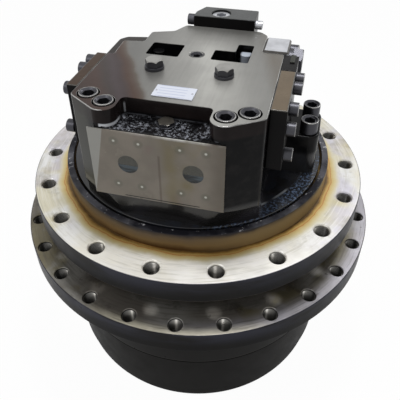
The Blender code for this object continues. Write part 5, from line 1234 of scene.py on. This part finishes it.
class DRIVE_OT_relief_valve(bpy.types.Operator):
    """Builds the relief valve's machined body and its hexagonal cartridge"""

    bl_idname = "drive.relief_valve"
    bl_label = "Relief valve"

    def execute(self, context):
        low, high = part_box("relief_valve_body")
        middle = middle_of("relief_cartridge")
        face = high.x + LIFT
        add_piece("relief_body_fine", mark(block(low, high, 0.0024, 1), low.z), "bright_steel",
                  ["relief_valve_body"], sharp=32, edges="dull_edge")
        cartridge = joined(
            pole(0.0185, 0.006, 40, 0.0008), placed(hex_head(0.0205, 0.0137), (0, 0, 0.006), turn=math.radians(30)),
            placed(pole(0.0125, 0.0175, 32), (0, 0, -0.0175)))
        add_piece("relief_cartridge_fine", placed(cartridge, (face, middle.y, middle.z), axis=(1, 0, 0)),
                  "black_oxide", ["relief_cartridge"])
        cap = mark(pole(0.0105, 0.0125, 40, 0.0012), 0.0115)
        add_piece("relief_side_plug", placed(cap, (face, high.y - 0.0125, high.z - 0.014), axis=(1, 0, 0)),
                  "black_oxide", edges="worn_edge_and_glint")
        return {"FINISHED"}


class DRIVE_OT_film(bpy.types.Operator):
    """Builds the protective film over the ports and the bare data plate"""

    bl_idname = "drive.film"
    bl_label = "Film and data plate"

    def execute(self, context):
        add_piece("port_film_sheet", block(*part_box("port_film")), "film_plastic", ["port_film"])
        plate = block((-0.0235, -0.1365, HEAD_TOP + 0.0001), (0.0286, -0.108, HEAD_TOP + 0.0011), 0.0003, 2)
        add_piece("data_plate", plate, "plate_metal")
        pins = placed(pole(0.0013, 0.0018, 16, 0.0005), *[(x, -0.12225, HEAD_TOP) for x in (-0.0205, 0.0256)])
        add_piece("data_plate_pins", pins, "bright_steel")
        return {"FINISHED"}


class DRIVE_OT_inner_finishes(bpy.types.Operator):
    """Gives the gears, the motor, the bearings and the brake their finishes"""

    bl_idname = "drive.inner_finishes"
    bl_label = "Inner finishes"

    def execute(self, context):
        special = {
            "bearing_bronze": ("thrust_pad", "valve_plate"),
            "friction_lining": ("friction_disc_1", "friction_disc_2"),
            "ground_steel": ("motor_shaft", "swash_plate", "piston_set", "counterbalance_spool", "brake_piston",
                             "seal_ring_turning", "seal_ring_fixed"),
        }
        looks = {name: finish for finish, names in special.items() for name in names}
        for name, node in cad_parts.items():
            if not node.hide_render:
                for slot in node.material_slots:
                    slot.material = finish_named(looks.get(name, "gear_steel"))
        return {"FINISHED"}


def soft_lamp(name, place, target, power, width):
    """A round area lamp that looks at its target."""
    lamp = bpy.data.lights.new(name, "AREA")
    lamp.energy = power
    lamp.shape = "DISK"
    lamp.size = width
    holder = loose_object(name, lamp)
    holder.location = place
    holder.rotation_euler = (Vector(target) - Vector(place)).to_track_quat("-Z", "Y").to_euler()


def two_faced(owner, usual, seen, share, output):
    """Mixes two shaders: the second shows to rays from the camera and those that a mirror or glass sends on."""
    owner.use_nodes = True
    tree = owner.node_tree
    tree.nodes.clear()
    path = add_node(tree, "LightPath").outputs
    ray = path["Is Camera Ray"]
    for kind in ("Is Glossy Ray", "Is Transmission Ray"):
        ray = add_node(tree, "Math", {0: ray, 1: path[kind]}, "MAXIMUM").outputs[0]
    part = add_node(tree, "Math", {0: ray, 1: share}, "MULTIPLY").outputs[0]
    first, second = [add_node(tree, *shader).outputs[0] for shader in (usual, seen)]
    blend = add_node(tree, "MixShader", {0: part, 1: first, 2: second})
    add_node(tree, output, {"Surface": blend.outputs[0]})


class DRIVE_OT_stage(bpy.types.Operator):
    """Sets the floor, the soft studio light, the white surroundings and the camera"""

    bl_idname = "drive.stage"
    bl_label = "Stage"

    def execute(self, context):
        build = bmesh.new()
        bmesh.ops.create_grid(build, x_segments=1, y_segments=1, size=6)
        floor = loose_object("floor", mesh_of("floor", build))
        paper = bpy.data.materials.new("floor_paper")
        white = (1, 1, 1)
        matt = ("BsdfDiffuse", {"Color": (0.86, 0.86, 0.86)})
        two_faced(paper, matt, ("Emission", {"Color": white, "Strength": 1}), 0.97, "OutputMaterial")
        floor.data.materials.append(paper)

        world = bpy.data.worlds.new("studio")
        context.scene.world = world
        dim, bright = [("Background", {"Color": white, "Strength": power}) for power in (0.40, 1)]
        two_faced(world, dim, bright, 1, "OutputWorld")
        soft_lamp("top_lamp", (0.07, 0.10, 2.0), (0, -0.1, 0.34), 14, 0.32)
        soft_lamp("key_lamp", (-0.9, -1.1, 1.9), (0, 0, 0.35), 7, 0.9)
        soft_lamp("back_lamp", (0.8, 1.0, 1.5), (0, 0, 0.4), 5, 0.4)

        camera = bpy.data.cameras.new("camera")
        camera.lens = 44.373
        camera.sensor_width = 36
        camera.shift_x = 0.0055
        camera.shift_y = -0.1057
        holder = loose_object("camera", camera)
        holder.location = (0.16449, -0.63162, 0.8298)
        holder.rotation_euler = [math.radians(angle) for angle in (53.119, 0.2694, 14.3929)]
        context.scene.camera = holder
        context.scene.view_settings.view_transform = "Standard"
        return {"FINISHED"}


STEPS = (
    DRIVE_OT_frame_flange, DRIVE_OT_hub, DRIVE_OT_drum, DRIVE_OT_head, DRIVE_OT_head_screws, DRIVE_OT_plugs,
    DRIVE_OT_side_covers, DRIVE_OT_rear_block, DRIVE_OT_relief_valve, DRIVE_OT_film, DRIVE_OT_inner_finishes,
    DRIVE_OT_stage,
)


class DRIVE_PT_panel(bpy.types.Panel):
    """Lists the pieces, sizes and colours in the sidebar"""

    bl_idname = "DRIVE_PT_panel"
    bl_label = "Final drive"
    bl_space_type = "VIEW_3D"
    bl_region_type = "UI"
    bl_category = "Final drive"

    def draw(self, context):
        for group in (context.scene.drive_sizes, context.scene.drive_colours):
            box = self.layout.box()
            for name in group.bl_rna.properties.keys():
                if name not in ("rna_type", "name"):
                    box.prop(group, name)
        for step in STEPS:
            self.layout.operator(step.bl_idname)


CLASSES = (DriveSizes, DriveColours, *STEPS, DRIVE_PT_panel)


def register():
    for item in CLASSES:
        bpy.utils.register_class(item)
    bpy.types.Scene.drive_sizes = PointerProperty(type=DriveSizes)
    bpy.types.Scene.drive_colours = PointerProperty(type=DriveColours)


def unregister():
    del bpy.types.Scene.drive_colours
    del bpy.types.Scene.drive_sizes
    for item in reversed(CLASSES):
        bpy.utils.unregister_class(item)


def main():
    register()
    for step in STEPS:
        group, name = step.bl_idname.split(".")
        getattr(getattr(bpy.ops, group), name)()


if __name__ == "__main__":
    main()
